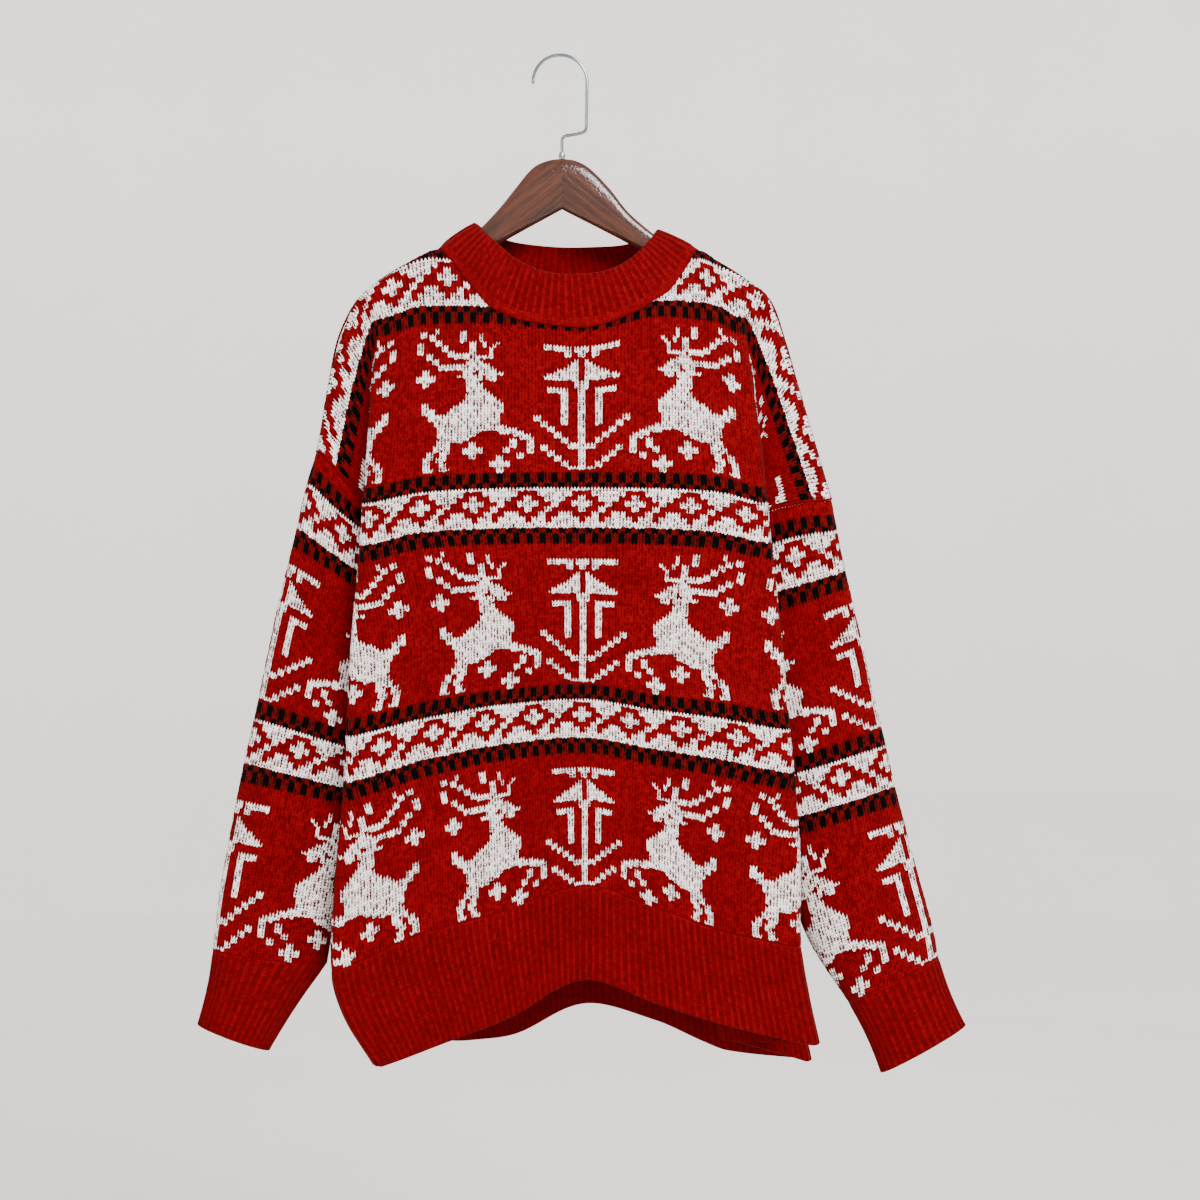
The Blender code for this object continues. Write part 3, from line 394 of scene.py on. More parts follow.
# The leaping deer, counted from the tree: row, first stitch and stitches wide of its body, then blocks
# for its nose, antlers, ears, legs and hooves
DEER_BODY = ((13, 30, 3), (14, 29, 5), (15, 27, 8), (16, 26, 9), (17, 25, 5), (17, 31, 4), (18, 23, 7),
             (18, 32, 3), (19, 25, 3), (19, 29, 8), (20, 25, 3), (20, 29, 5), (21, 30, 4), (22, 29, 5),
             (23, 29, 5), (24, 28, 6), (25, 27, 6), (26, 26, 8), (27, 25, 9), (28, 24, 11), (29, 23, 13),
             (30, 23, 15), (31, 23, 16), (32, 23, 17), (33, 24, 20), (34, 24, 20), (35, 24, 20),
             (36, 24, 20), (37, 22, 21), (38, 19, 24), (39, 17, 7), (39, 30, 13), (40, 15, 5),
             (40, 31, 12), (41, 14, 4), (41, 33, 9), (42, 14, 2), (42, 35, 7))
DEER = [(first, wide, row, 1) for row, first, wide in DEER_BODY] + [
    (14, 2, 43, 4), (19, 2, 42, 3), (21, 2, 45, 2), (17, 2, 47, 2), (44, 2, 31, 4), (46, 2, 29, 4),
    (39, 2, 43, 4), (40, 2, 46, 3), (41, 2, 48, 2), (40, 2, 50, 3), (39, 2, 52, 1), (41, 2, 42, 3),
    (42, 2, 44, 2), (44, 2, 46, 3), (45, 2, 48, 4), (44, 3, 52, 1), (33, 5, 11, 2), (38, 2, 10, 2),
    (40, 2, 8, 2), (42, 2, 6, 2), (44, 2, 4, 2), (43, 1, 2, 2), (47, 2, 3, 2), (34, 9, 15, 2),
    (43, 2, 13, 2), (45, 2, 11, 2), (48, 2, 7, 4), (34, 2, 3, 4), (31, 2, 7, 5), (26, 6, 12, 1),
    (26, 1, 9, 3), (29, 1, 4, 3), (28, 1, 7, 2), (25, 1, 8, 1), (24, 1, 7, 1)
]
STARS = [block for stitch, row in ((46, 20), (31, 46), (23, 51))
         for block in ((stitch, 2, row - 3, 6), (stitch - 2, 6, row - 1, 2))]
TREE_TO_TREE = 107      # stitches from the middle of one tree to the next


def knit_blocks(chart, first, blocks, way, start):
    """White blocks; start is the stitch that they are counted from, and way the side they run to."""
    for stitch, wide, row, tall in blocks:
        ends = sorted((start + way * stitch, start + way * (stitch + wide)))
        low, high = np.clip(ends, 0, chart.shape[1])
        chart[first + row:first + row + tall, low:high] = WHITE


def knit_picture(chart, first):
    """Tree and deer on both sides of the middle, and the same turned over from the next trees."""
    middle = chart.shape[1] // 2
    for side in (LEFT, RIGHT):
        for start, way in ((middle, side), (middle + side * TREE_TO_TREE, -side)):
            knit_blocks(chart, first, TREE + DEER + STARS, way, start)


PANEL_CHART = np.zeros((ROWS, 2 * SIDE_STITCHES), int)
for first, shift in ((0, 0), (81, 8), (162, 8)):
    knit_band(PANEL_CHART, first, shift)
    knit_picture(PANEL_CHART, first + BAND_ROWS)


def linear(code, alpha=1.0):
    """An sRGB hex colour as linear values."""
    parts = [int(code[k:k + 2], 16) / 255 for k in (1, 3, 5)]
    return (*[c / 12.92 if c <= 0.04045 else ((c + 0.055) / 1.055) ** 2.4 for c in parts], alpha)


def feed(tree, node, links):
    """Give each of these inputs a value, or the output or node that feeds it."""
    for name, value in links.items():
        if isinstance(value, bpy.types.Node):
            value = value.outputs[0]
        if isinstance(value, bpy.types.NodeSocket):
            tree.links.new(value, node.inputs[name])
        else:
            node.inputs[name].default_value = value


def add(tree, kind, links, ramp=None, **settings):
    """A node with its inputs, its colour ramp and its settings."""
    made = tree.nodes.new(kind)
    for name, value in settings.items():
        setattr(made, name, value)
    feed(tree, made, links)
    if ramp:
        while len(made.color_ramp.elements) < len(ramp):
            made.color_ramp.elements.new(1.0)
        for element, (position, colour) in zip(made.color_ramp.elements, ramp):
            element.position = position
            element.color = colour
    return made


def blank(name, **values):
    """A material with its Principled shader set to plain values, its tree and that shader."""
    material = bpy.data.materials.new(name)
    material.use_nodes = True
    tree = material.node_tree
    shader = tree.nodes["Principled BSDF"]
    feed(tree, shader, {socket.replace("_", " "): value for socket, value in values.items()})
    return material, tree, shader


def acrylic_yarn(name, colours, shaded_gaps):
    """Knitted acrylic yarn, spun soft and steamed: matt, fuzzy, each leg of a stitch a rounded strand with
    fine fibres across it, and what lies behind showing between the strands in gap colours that are darkened
    as painted shade."""
    material, tree, shader = blank(name, Roughness=0.95, Sheen_Weight=0.03, Sheen_Roughness=0.5,
                                   Sheen_Tint=(0.7, 0.3, 0.28, 1), Specular_IOR_Level=0.05, IOR=1.5)
    yarn = add(tree, "ShaderNodeAttribute", {}, attribute_name="yarn")
    ramp = [(k / 4, linear(colour)) for k, colour in enumerate(colours)]
    shaded_gap_ramp = [(k / 4, linear(colour)) for k, colour in enumerate(shaded_gaps)]
    colour = add(tree, "ShaderNodeValToRGB", {"Fac": yarn.outputs["Fac"]}, ramp=ramp)
    gap = add(tree, "ShaderNodeValToRGB", {"Fac": yarn.outputs["Fac"]}, ramp=shaded_gap_ramp)
    for made in (colour, gap):
        made.color_ramp.interpolation = "CONSTANT"
    place = add(tree, "ShaderNodeUVMap", {}, uv_map="strand")
    part = add(tree, "ShaderNodeSeparateXYZ", {"Vector": place})
    # A strand is rounded across its leg and swells between its ends
    swells = []
    for axis, power in (("X", 0.6), ("Y", 0.4)):
        turn = add(tree, "ShaderNodeMath", {0: part.outputs[axis], 1: math.pi}, operation="MULTIPLY")
        round_ = add(tree, "ShaderNodeMath", {0: turn}, operation="SINE")
        swells.append(add(tree, "ShaderNodeMath", {0: round_, 1: power}, operation="POWER"))
    strand = add(tree, "ShaderNodeMath", dict(enumerate(swells)), operation="MULTIPLY")
    # In the middle of each V, where two rows meet, the loops leave a small diamond open; it shows the yarn
    # behind in the gap colour, darkened as painted shade
    across = add(tree, "ShaderNodeMath", {0: part.outputs["X"], 1: -1.45, 2: 1.45},
                 operation="MULTIPLY_ADD")
    off = add(tree, "ShaderNodeMath", {0: part.outputs["Y"], 1: 0.5}, operation="SUBTRACT")
    level = add(tree, "ShaderNodeMath", {0: off}, operation="ABSOLUTE")
    down = add(tree, "ShaderNodeMath", {0: level, 1: -2.7, 2: 1.35}, operation="MULTIPLY_ADD")
    reach = add(tree, "ShaderNodeMath", {0: across, 1: down}, operation="ADD")
    # No two stitches are drawn equally tight, so their gaps and their tone differ. Both are drawn a
    # little stronger than they are, to show from a step away
    scaled = add(tree, "ShaderNodeMath", {0: yarn.outputs["Fac"], 1: 4.0}, operation="MULTIPLY")
    slack = add(tree, "ShaderNodeMath", {0: scaled}, operation="FRACT")
    loose = add(tree, "ShaderNodeMath", {0: slack, 1: -1.5, 2: reach}, operation="MULTIPLY_ADD")
    hole = add(tree, "ShaderNodeMapRange", {"Value": loose, "From Min": 0.6, "From Max": 0.25})
    # Painted shade between the strands: their edges are drawn up to 0.4 of the way to the dark gap colour
    edge = add(tree, "ShaderNodeMapRange", {"Value": strand, "From Min": 0.45, "From Max": 0.0,
                                            "To Max": 0.4})
    shown = add(tree, "ShaderNodeMath", {0: hole, 1: edge}, operation="MAXIMUM")
    mixed = add(tree, "ShaderNodeMixRGB", {"Fac": shown, "Color1": colour, "Color2": gap})
    # Spinning unevenness every 2 mm, dye that varies over 40 mm and tufts of fibres some 0.7 mm long:
    # scale, detail, roughness, lowest and highest of the noise, and what they make of the colour
    where = add(tree, "ShaderNodeTexCoord", {})
    tone = add(tree, "ShaderNodeMath", {0: slack, 1: -0.24, 2: 1.12}, operation="MULTIPLY_ADD")
    for scale, detail, roughness, low, high, darkest, lightest in (
            (480.0, 1.0, 0.5, 0.3, 0.7, 0.84, 1.14), (24.0, 1.0, 0.5, 0.3, 0.7, 0.93, 1.06),
            (1 / (0.675 * MM), 2.0, 0.65, 0.25, 0.75, 0.66, 1.3)):
        fibres = add(tree, "ShaderNodeTexNoise", {"Vector": where.outputs["Object"], "Scale": scale,
                                                  "Detail": detail, "Roughness": roughness})
        light = add(tree, "ShaderNodeMapRange", {"Value": fibres, "From Min": low, "From Max": high,
                                                 "To Min": darkest, "To Max": lightest})
        tone = add(tree, "ShaderNodeMath", {0: tone, 1: light}, operation="MULTIPLY")
    shade = add(tree, "ShaderNodeVectorMath", {0: mixed, "Scale": tone}, operation="SCALE")
    rough = add(tree, "ShaderNodeMath", {0: fibres, 1: 0.35}, operation="MULTIPLY")
    height = add(tree, "ShaderNodeMath", {0: strand, 1: rough}, operation="ADD")
    bump = add(tree, "ShaderNodeBump", {"Height": height, "Strength": 0.8, "Distance": 0.45 * MM})
    feed(tree, shader, {"Base Color": shade, "Normal": bump})
    return material


# The gap colours are the yarns behind, drawn dark as painted shade in the holes and between the strands
JACQUARD = acrylic_yarn("acrylic_jacquard", ("#700006", "#FFF3F1", "#010101", "#600507"),
                        ("#500004", "#4A0509", "#000000", "#140102"))


def uneven_stitches(points):
    """The points with the small shifts that hand-finished knitting has, but for the piece's edges."""
    shifts = np.random.default_rng(11).normal(0, STITCH_SHIFT, points.shape)
    shifts[[0, -1]] = 0
    shifts[:, [0, -1]] = 0
    return points + np.clip(shifts, -2 * STITCH_SHIFT, 2 * STITCH_SHIFT) * (1, 0.5, 1)


def put(data):
    """An object in the scene from its mesh, lamp or camera, with the same name."""
    made = bpy.data.objects.new(data.name, data)
    bpy.context.scene.collection.objects.link(made)
    return made


def new_piece(mesh, material):
    """A piece of the sweater or the hanger from its mesh."""
    mesh.materials.append(material)
    piece = put(mesh)
    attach(piece, "root")
    return piece


def knit_mesh(name, points, keep, yarns, shift=0):
    """Mesh of knit from a grid of points, with two columns of cells to a stitch. keep tells which
    cells are knitted, yarns their colour, and shift 1 that a stitch starts one column earlier."""
    i, j = np.nonzero(keep)
    wide = points.shape[1]
    faces = np.stack([i * wide + j, (i + 1) * wide + j, (i + 1) * wide + j + 1, i * wide + j + 1], axis=1)
    used, inverse = np.unique(faces, return_inverse=True)
    faces = inverse.reshape(faces.shape)
    mesh = bpy.data.meshes.new(name)
    mesh.from_pydata((points.reshape(-1, 3)[used] * MM).tolist(), [], faces.tolist())
    # Each leg has its own square: across it to the middle of the V, and from its top to its foot
    right = ((j + shift) % 2 == 0).astype(float)
    left = 1 - right
    top, foot = np.zeros(len(i)), np.ones(len(i))
    strand = np.stack([left, top, left, foot, right, foot, right, top], axis=1)
    mesh.uv_layers.new(name="strand").data.foreach_set("uv", strand.ravel())
    flat = np.stack(np.meshgrid(np.linspace(0, 1, wide), np.linspace(1, 0, points.shape[0])), axis=-1)
    laid = flat.reshape(-1, 2)[used][faces]
    mesh.uv_layers.new(name="OFBake").data.foreach_set("uv", laid.ravel())
    # The fraction says how slack the stitch is, the same for its two legs
    slack = np.random.default_rng(5).uniform(0.05, 0.95, (yarns.shape[0], yarns.shape[1] // 2 + 1))
    colour = mesh.attributes.new("yarn", "FLOAT", "FACE")
    colour.data.foreach_set("value", (yarns[i, j] + slack[i, j // 2]) / 4)
    mesh.shade_smooth()
    return mesh


def panel_place(face, rows, stitches):
    """Net level and step of real rows and stitches, and whether they lie below the neck and shoulders."""
    net_rows = np.where(rows > TIGHT_ROW,
                        TIGHT_ROW + (rows - TIGHT_ROW) * (NET_HEM - TIGHT_ROW) / (ROWS - TIGHT_ROW), rows)
    table = DRAW[face]
    drawn = np.stack([np.interp(stitches[0], DRAW_AT, row[1:]) for row in table])
    steps = smooth(table[:, 0], drawn, net_rows[:, 0])
    neckline = NECKLINE[face]
    at_neck = (steps > neckline[0, 0]) & (steps < neckline[-1, 0])
    cut = np.maximum(np.where(at_neck, np.interp(steps, *neckline.T), 0), shoulder_row(steps))
    drop = np.where(np.arange(rows.shape[1]) % 2 == 1, V_DROP, 0.0)
    shifted = np.minimum(net_rows + drop, NET_HEM)
    return np.maximum(level_of(np.maximum(shifted, cut), steps), 0), steps, shifted > cut


def knit_panel(face, name):
    """One panel, as a single layer at the cloth's outside."""
    half_stitches = np.arange(-2 * SIDE_STITCHES, 2 * SIDE_STITCHES + 1)
    rows, stitches = np.meshgrid(np.arange(ROWS + 1.0), half_stitches / 2, indexing="ij")
    levels, steps, below = panel_place(face, rows, stitches)
    points, normals = surface(face, levels, steps)
    points = creased(points, normals, CREASES, PANEL_ENDS)
    points -= normals * np.where(half_stitches % 2 == 1, V_DEPTH, 0.0)[None, :, None]
    keep = below[1:, :-1] | below[1:, 1:]
    mesh = knit_mesh(name, uneven_stitches(points), keep, np.repeat(PANEL_CHART, 2, axis=1))
    return new_piece(mesh, JACQUARD)


for face, name in FACES:
    piece = knit_panel(face, name + "_panel")
    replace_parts(piece, name)

# ---- Hem bands -----------------------------------------------------------------------------
# A deep 1x1 rib knitted on below each panel, red all over, with 104 ribs. It draws the panels in and
# its side edges run down the same side seams. The ribs stand out of both sides of the band.
HEM_RIBS = 104
HEM_ROWS = 36
RIB_OUT = 1.1           # a rib stands this far out
RIB_WAVE = (0.45, 1.0, 0.45, -0.25)     # shares of it over the four columns of a rib
RIB_DROP = 0.7          # the legs of its stitches meet this share of a row lower in its middle
SEAM_HALF = 0.15        # both bands end this far from the middle of the side seams
RIM_TURN = 0.7          # radians by which the rounded edge starts after one side and ends before the other
# The second colour is painted shade for the grooves, and the gap colours are the yarn behind, darkened as
# painted shade
RIB_YARN = acrylic_yarn("acrylic_rib", ("#6E0209", "#5E0207", "#6E0209", "#6E0209"),
                        ("#600106", "#500105", "#600106", "#600106"))


def rising(rows):
    """Shares of a rib's height, which it reaches within four rows of the seam."""
    return np.clip((np.arange(rows) + 0.5) / 4, 0, 1)


def close_mesh(mesh, gap, capped):
    """Joins points that lie within this gap, in metres, fills open ends and turns all faces outwards."""
    bm = bmesh.new()
    bm.from_mesh(mesh)
    bmesh.ops.remove_doubles(bm, verts=bm.verts, dist=gap)
    if capped:
        bmesh.ops.holes_fill(bm, edges=[edge for edge in bm.edges if edge.is_boundary], sides=0)
    bmesh.ops.recalc_face_normals(bm, faces=bm.faces)
    bm.to_mesh(mesh)
    bm.free()


def rib_piece(name, outer, inner, ring, gather):
    """Closed band of 1x1 rib between the points of its two sides, rows down and four columns to a rib.
    gather is the share of the rib's height that each row has."""
    columns = np.arange(outer.shape[1])
    out = unit(outer - inner)
    rise = RIB_OUT * np.array(RIB_WAVE)[columns % 4][None, :, None] * gather[:, None, None]
    raised = outer + out * rise
    drop = np.where(columns % 4 == 1, RIB_DROP, 0.0)[:, None]
    raised[1:-1] += (raised[2:] - raised[1:-1]) * drop
    lining = inner + out * rise * 0.8
    # The edge is rounded from one side to the other, and the top is closed inside the seam
    half = (outer[-1] - inner[-1]) / 2
    middle = (outer[-1] + inner[-1]) / 2
    down = unit(outer[-1] - outer[-2]) * np.linalg.norm(half, axis=1, keepdims=True)
    rim = [middle + half * math.cos(a) + down * math.sin(a) + out[-1] * rise[-1] * share
           for a, share in ((RIM_TURN, 0.7), (math.pi / 2, 0), (math.pi - RIM_TURN, 0.5))]
    loop = np.concatenate([raised, rim, lining[::-1], raised[:1]])
    if ring:
        loop = np.concatenate([loop, loop[:, :1]], axis=1)
    keep = np.ones((loop.shape[0] - 1, loop.shape[1] - 1), bool)
    # The purl wales lie in the grooves, in the shade of the knit ones; their cells take the rib yarn's
    # darker second colour as painted shade
    ribbed = np.concatenate([gather, [1, 1, 1], gather[::-1], [0]])[:len(keep)] > 0.3
    groove_shade = ((np.arange(keep.shape[1]) % 4 >= 2) & ribbed[:, None]).astype(int)
    mesh = knit_mesh(name, loop, keep, groove_shade, shift=1)
    close_mesh(mesh, 1e-6, not ring)
    return new_piece(mesh, RIB_YARN)


def hem_band(face, name):
    """Rib from the panel's lower edge down, sunk until its ribs stand only 0.6 mm further out."""
    levels, steps = np.meshgrid(np.linspace(NET_HEM, NET_END - 0.6, HEM_ROWS),
                                np.linspace(-NET_HALF, NET_HALF, 4 * HEM_RIBS + 1), indexing="ij")
    points, normals = surface(face, levels, steps)
    outer = creased(points, normals, CREASES, PANEL_ENDS) - normals * (RIB_OUT - 0.6)
    inner = outer - normals * (WALL - 0.7)
    for layer in (outer, inner):
        layer[:, :, 1] = face * np.maximum(layer[:, :, 1] * face, SEAM_HALF)
    return rib_piece(name, outer, inner, False, rising(HEM_ROWS))


for face, name in FACES:
    band = hem_band(face, "hem_band_" + name)
    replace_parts(band, "hem_" + name)

# ---- Sleeves -------------------------------------------------------------------------------
# Two tubes of the same jacquard, 167 rows long, narrowed along the seam underneath and linked to the
# panels' side edges. They hang flat beside the body, with the tree of their pattern on the outer edge.
# Levels of the panels' edges that the armhole passes, from the shoulder end to the underarm
ARMHOLE_LEVELS = (0, 2, 4.5, 12, 20, 27, 40, 54, 60, 67, 81, 95)
SLEEVE_ROWS = 167
ARMHOLE_BLEND = 50      # rows over which the armhole's form passes into the plain sleeve
UNDERARM_GAP = 0.6      # the sleeve's lowest point stands this far off the side seam
SLEEVE_NET = 176        # points round a sleeve's form, half of them on its front
# Outer edge from the shoulder end to the cuff, then the inner edge from the underarm: x, z
SLEEVE_OUTER = {
    LEFT: np.array([(-218.7, -355.5), (-229.5, -390.6), (-237.6, -426.6), (-254.7, -496.8),
                    (-272.7, -583.2), (-287.1, -648), (-305.1, -744.3), (-312.5, -803.7)]),
    RIGHT: np.array([(243.9, -397.8), (253.8, -448.2), (270, -518.4), (288.9, -601.2),
                     (304.2, -666.9), (324, -741.6), (335.7, -784.8), (340.2, -809.1)]),
}
SLEEVE_INNER = {
    LEFT: np.array([(-86, -465), (-112, -520), (-140, -590), (-165, -655), (-187, -720),
                    (-203, -780), (-209.7, -816)]),
    RIGHT: np.array([(100, -470), (127, -525), (155, -590), (180, -655), (202, -725),
                     (222, -792), (258.3, -849)]),
}
SLEEVE_DEPTH = np.array([(0, 13.5), (30, 14), (85, 18), (167, 18)])
SLEEVE_SIDE = 64        # stitches from the outer edge to the seam at the widest row
# Hollows and folds of the sleeves: x and z of both ends, width, height outwards, on the front. Those on
# the back lie further out
SLEEVE_ENDS = 0.3
BACK_CREASES_OUT = 11
SLEEVE_CREASES = {
    LEFT: ((-150, -440, -196, -610, 14, 1.8), (-205, -470, -240, -640, 16, -1.5),
           (-180, -640, -215, -790, 14, 1.6), (-255, -640, -270, -800, 15, 1.5),
           (-226, -560, -262, -600, 12, -1.0), (-210, -720, -290, -745, 13, -1.3)),
    RIGHT: ((165, -450, 210, -610, 15, 1.7), (215, -480, 262, -650, 16, -1.6),
            (200, -640, 236, -800, 14, 1.7), (280, -660, 306, -810, 15, 1.4),
            (240, -560, 286, -590, 12, -1.1), (230, -730, 316, -742, 13, -1.2)),
}
# Row, and stitches that the pattern's middle lies from the outer edge, towards the front
SLEEVE_TURN = {
    LEFT: np.array([(0, 2.4), (85, 2.4), (120, 2.2), (167, 1.6)]),
    RIGHT: np.array([(0, 0.3), (60, 0.6), (112, 3.2), (167, 4.4)]),
}
# Row, rows that it lies higher at the outer edge, and that much more at the seam
SLEEVE_LIFT = np.array([(0, 0, 0), (14, 0, 1.2), (31, 0.2, 4), (86, 2.4, 9), (112, 2.4, 9),
                        (142, 1.2, 5), (167, 0, 0)])

SLEEVE_CHART = np.zeros((SLEEVE_ROWS, 2 * SLEEVE_SIDE), int)
for first in (5, 86):
    knit_band(SLEEVE_CHART, first, 8)
    knit_picture(SLEEVE_CHART, first + BAND_ROWS)


def path_lengths(path):
    """Lengths from the start of a path to each of its points."""
    return np.concatenate([[0], np.cumsum(np.linalg.norm(np.diff(path, axis=0), axis=1))])


def straight(knots, values, at):
    """Straight lines through the values at the knots, held at both ends."""
    return np.stack([np.interp(at, knots, column) for column in values.T], axis=1)


def along(path, count):
    """This many points at equal lengths along a smooth curve through the path's points."""
    lengths = path_lengths(path)
    return smooth(lengths, path, np.arange(count) / (count - 1) * lengths[-1])


def flat_ring(outside, inside, turns, depth):
    """Points round a flattened ring between its outer and inner edge, at these angles."""
    flat = outside + (inside - outside) * ((1 - np.cos(turns)) / 2)[:, None]
    return np.stack([flat[..., 0], -np.sin(turns) * depth, flat[..., 1]], axis=-1)


def sleeve_rings(side, count):
    """Points round the plain sleeve at each row, from the outer edge round the front."""
    rows = np.arange(SLEEVE_ROWS + 1)
    outside = along(SLEEVE_OUTER[side], SLEEVE_ROWS + 1)[:, None, :]
    inside = along(SLEEVE_INNER[side], SLEEVE_ROWS + 1)[:, None, :]
    turns = np.arange(count + 1) / count * 2 * math.pi
    return flat_ring(outside, inside, turns, np.interp(rows, *SLEEVE_DEPTH.T)[:, None])


def armhole_edge(side, count):
    """Points round the armhole on the panels' side edges, in the same order."""
    last = len(ARMHOLE_LEVELS) - 1
    edge = []
    for station in np.arange(count + 1) / count * 2 * last:
        face = FRONT if station <= last else BACK
        level = np.interp(min(station, 2 * last - station), np.arange(last + 1), ARMHOLE_LEVELS)
        edge.append(sample(FORM[face], np.array(level), np.array(side * NET_HALF * 1.0)))
    edge = np.array(edge)
    under = count // 2
    edge[under] = edge[under] * (1, 0, 1) + np.array([side * UNDERARM_GAP, 0, 0.3])
    edge[[0, -1], 1] = 0
    return edge


def sleeve_form(side):
    """Points of the whole sleeve, with its way out of the armhole and its creases."""
    rings = sleeve_rings(side, SLEEVE_NET)
    rows = np.arange(SLEEVE_ROWS + 1)
    t = np.clip(rows / ARMHOLE_BLEND, 0, 1)
    hold = (1 - t * t * (3 - 2 * t))[:, None, None]
    form = rings + hold * (armhole_edge(side, SLEEVE_NET) - rings[0])
    normals = normals_of(form)
    if normals[:, :SLEEVE_NET // 2, 1].sum() > 0:
        normals = -normals
    # The creases run out over the first 12 rows and the last 6
    fade = (np.clip(rows / 12, 0, 1) * np.clip((SLEEVE_ROWS - rows) / 6, 0, 1))[:, None, None]
    further = np.array([side * BACK_CREASES_OUT, 0, side * BACK_CREASES_OUT, 0, 0, 0])
    creases = {FRONT: SLEEVE_CREASES[side], BACK: np.array(SLEEVE_CREASES[side]) + further}
    moved = creased(form, normals, creases, SLEEVE_ENDS)
    return form + (moved - form) * fade, normals


def knit_sleeve(side, name):
    """One sleeve, as a single layer at the cloth's outside, open along the seam underneath."""
    form, normals = sleeve_form(side)
    half = SLEEVE_NET // 2
    half_stitches = np.arange(-2 * SLEEVE_SIDE, 2 * SLEEVE_SIDE + 1)
    middles = half_stitches % 2 == 1
    rows = np.arange(SLEEVE_ROWS + 1)
    # Points, ways out and lengths round each ring, from the seam over the back to the seam again
    order = np.concatenate([np.arange(half, 2 * half), np.arange(half + 1)])
    loops = form[:, order]
    lengths = np.array([path_lengths(loop) for loop in loops])
    lengths -= lengths[:, half:half + 1]
    # The pattern's middle wanders off the outer edge, and its rows ride up towards the seam underneath
    turned = np.interp(rows, *SLEEVE_TURN[side].T)[:, None]
    lifted = np.interp(rows, *SLEEVE_LIFT[:, :2].T)[:, None]
    tilted = np.interp(rows, *SLEEVE_LIFT[:, ::2].T)[:, None]
    arcs = half_stitches[None, :] * NET_STEP / 2 + turned * NET_STEP
    ends = lengths[:, [0, -1]]
    flat = np.concatenate([loops, normals[:, order]], axis=2)
    laid = np.stack([straight(lengths[i], flat[i], arcs[i]) for i in rows])
    away = np.clip(np.maximum(arcs / ends[:, 1:], arcs / ends[:, :1]), 0, 1)
    at = np.clip(rows[:, None] + middles * V_DROP - lifted - tilted * away, 0, SLEEVE_ROWS - 1e-6)
    low = at.astype(int)
    share = (at - low)[..., None]
    columns = np.arange(len(half_stitches))
    found = laid[low, columns] * (1 - share) + laid[low + 1, columns] * share
    points = found[..., :3] - unit(found[..., 3:]) * np.where(middles, V_DEPTH, 0.0)[None, :, None]
    inside = (arcs > ends[:, :1] + 1e-6) & (arcs < ends[:, 1:] - 1e-6)
    keep = inside[:-1, :-1] | inside[:-1, 1:] | inside[1:, :-1] | inside[1:, 1:]
    mesh = knit_mesh(name, uneven_stitches(points), keep, np.repeat(SLEEVE_CHART, 2, axis=1))
    if side == RIGHT:
        mesh.flip_normals()
    return new_piece(mesh, JACQUARD), form


SLEEVES = {}
for side, name in SIDES:
    sleeve, SLEEVES[side] = knit_sleeve(side, "sleeve_tube_" + name)
    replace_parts(sleeve, "sleeve_" + name)

# ---- Cuffs ---------------------------------------------------------------------------------
# Rings of the same 1x1 rib with 36 ribs, linked to the sleeves' ends and springing open a little.
CUFF_RIBS = 36
CUFF_ROWS = 31
CUFF_WAIST = 0.05       # share by which the rib draws in between the seam and the mouth
CUFF_END = {            # outer and inner corner of the cuff's mouth
    LEFT: ((-325.8, -870.3), (-261.9, -893.7)),
    RIGHT: ((364.5, -871.2), (288.9, -913.5)),
}
CUFF_DEPTH = 13.0       # half its depth at the mouth


def ring_normals(rings):
    """Unit normals that point out of a row of rings."""
    closed = np.concatenate([rings[:, -1:], rings, rings[:, :1]], axis=1)
    normals = normals_of(closed)[:, 1:-1]
    return normals * np.sign(np.sum(normals * (rings - rings.mean(axis=(0, 1)))))


for side, name in SIDES:
    end = SLEEVES[side][-1]
    share = np.arange(4 * CUFF_RIBS) / (4 * CUFF_RIBS)
    start = straight(np.arange(len(end)), end, share * (len(end) - 1))
    out, ins = (np.array(corner) for corner in CUFF_END[side])
    mouth = flat_ring(out, ins, share * 2 * math.pi, CUFF_DEPTH)
    down = np.linspace(0, 1, CUFF_ROWS)[:, None, None]
    line = start * (1 - down) + mouth * down
    centre = line.mean(axis=1, keepdims=True)
    outer = centre + (line - centre) * (1 - CUFF_WAIST * np.sin(math.pi * down) ** 0.8)
    normals = ring_normals(outer)
    outer = outer - normals * 0.4
    cuff = rib_piece("cuff_ring_" + name, outer, outer - normals * (WALL - 0.5), True, rising(CUFF_ROWS))
    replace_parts(cuff, "cuff_" + name)

# ---- Collar --------------------------------------------------------------------------------
# Mock neck in 1x1 rib, 76 ribs round, folded over on itself and linked down inside and out, so that
# it is fuller than the other ribs and ends in a smooth band on the neckline.
COLLAR_RIBS = 76
COLLAR_FRONT_SHARE = 0.54
COLLAR_OUT = 0.6        # its foot lies this far outside the panels
COLLAR_BULGE = 1.5      # and its middle this far out of a straight line from foot to rim
COLLAR_THICK = 3.2
COLLAR_ROWS = 17
COLLAR_SMOOTH = 1.9     # rows of the band on the neckline, which has no ribs
RIM_STEPS = 12          # steps of the curve between two points of the rim
COLLAR_RIM = np.array([
    (-77, 0, -150), (-66, -17, -163), (-52, -28, -177), (-38, -34, -189), (-18, -39, -199),
    (5, -41, -203), (36, -40, -201), (56, -36, -193), (71, -29, -181), (83, -15, -166),
    (88.5, 0, -156), (81, 15, -161), (57, 30, -166), (28, 38, -167), (0, 40, -167),
    (-28, 37, -165), (-50, 27, -162), (-68, 14, -155),
])


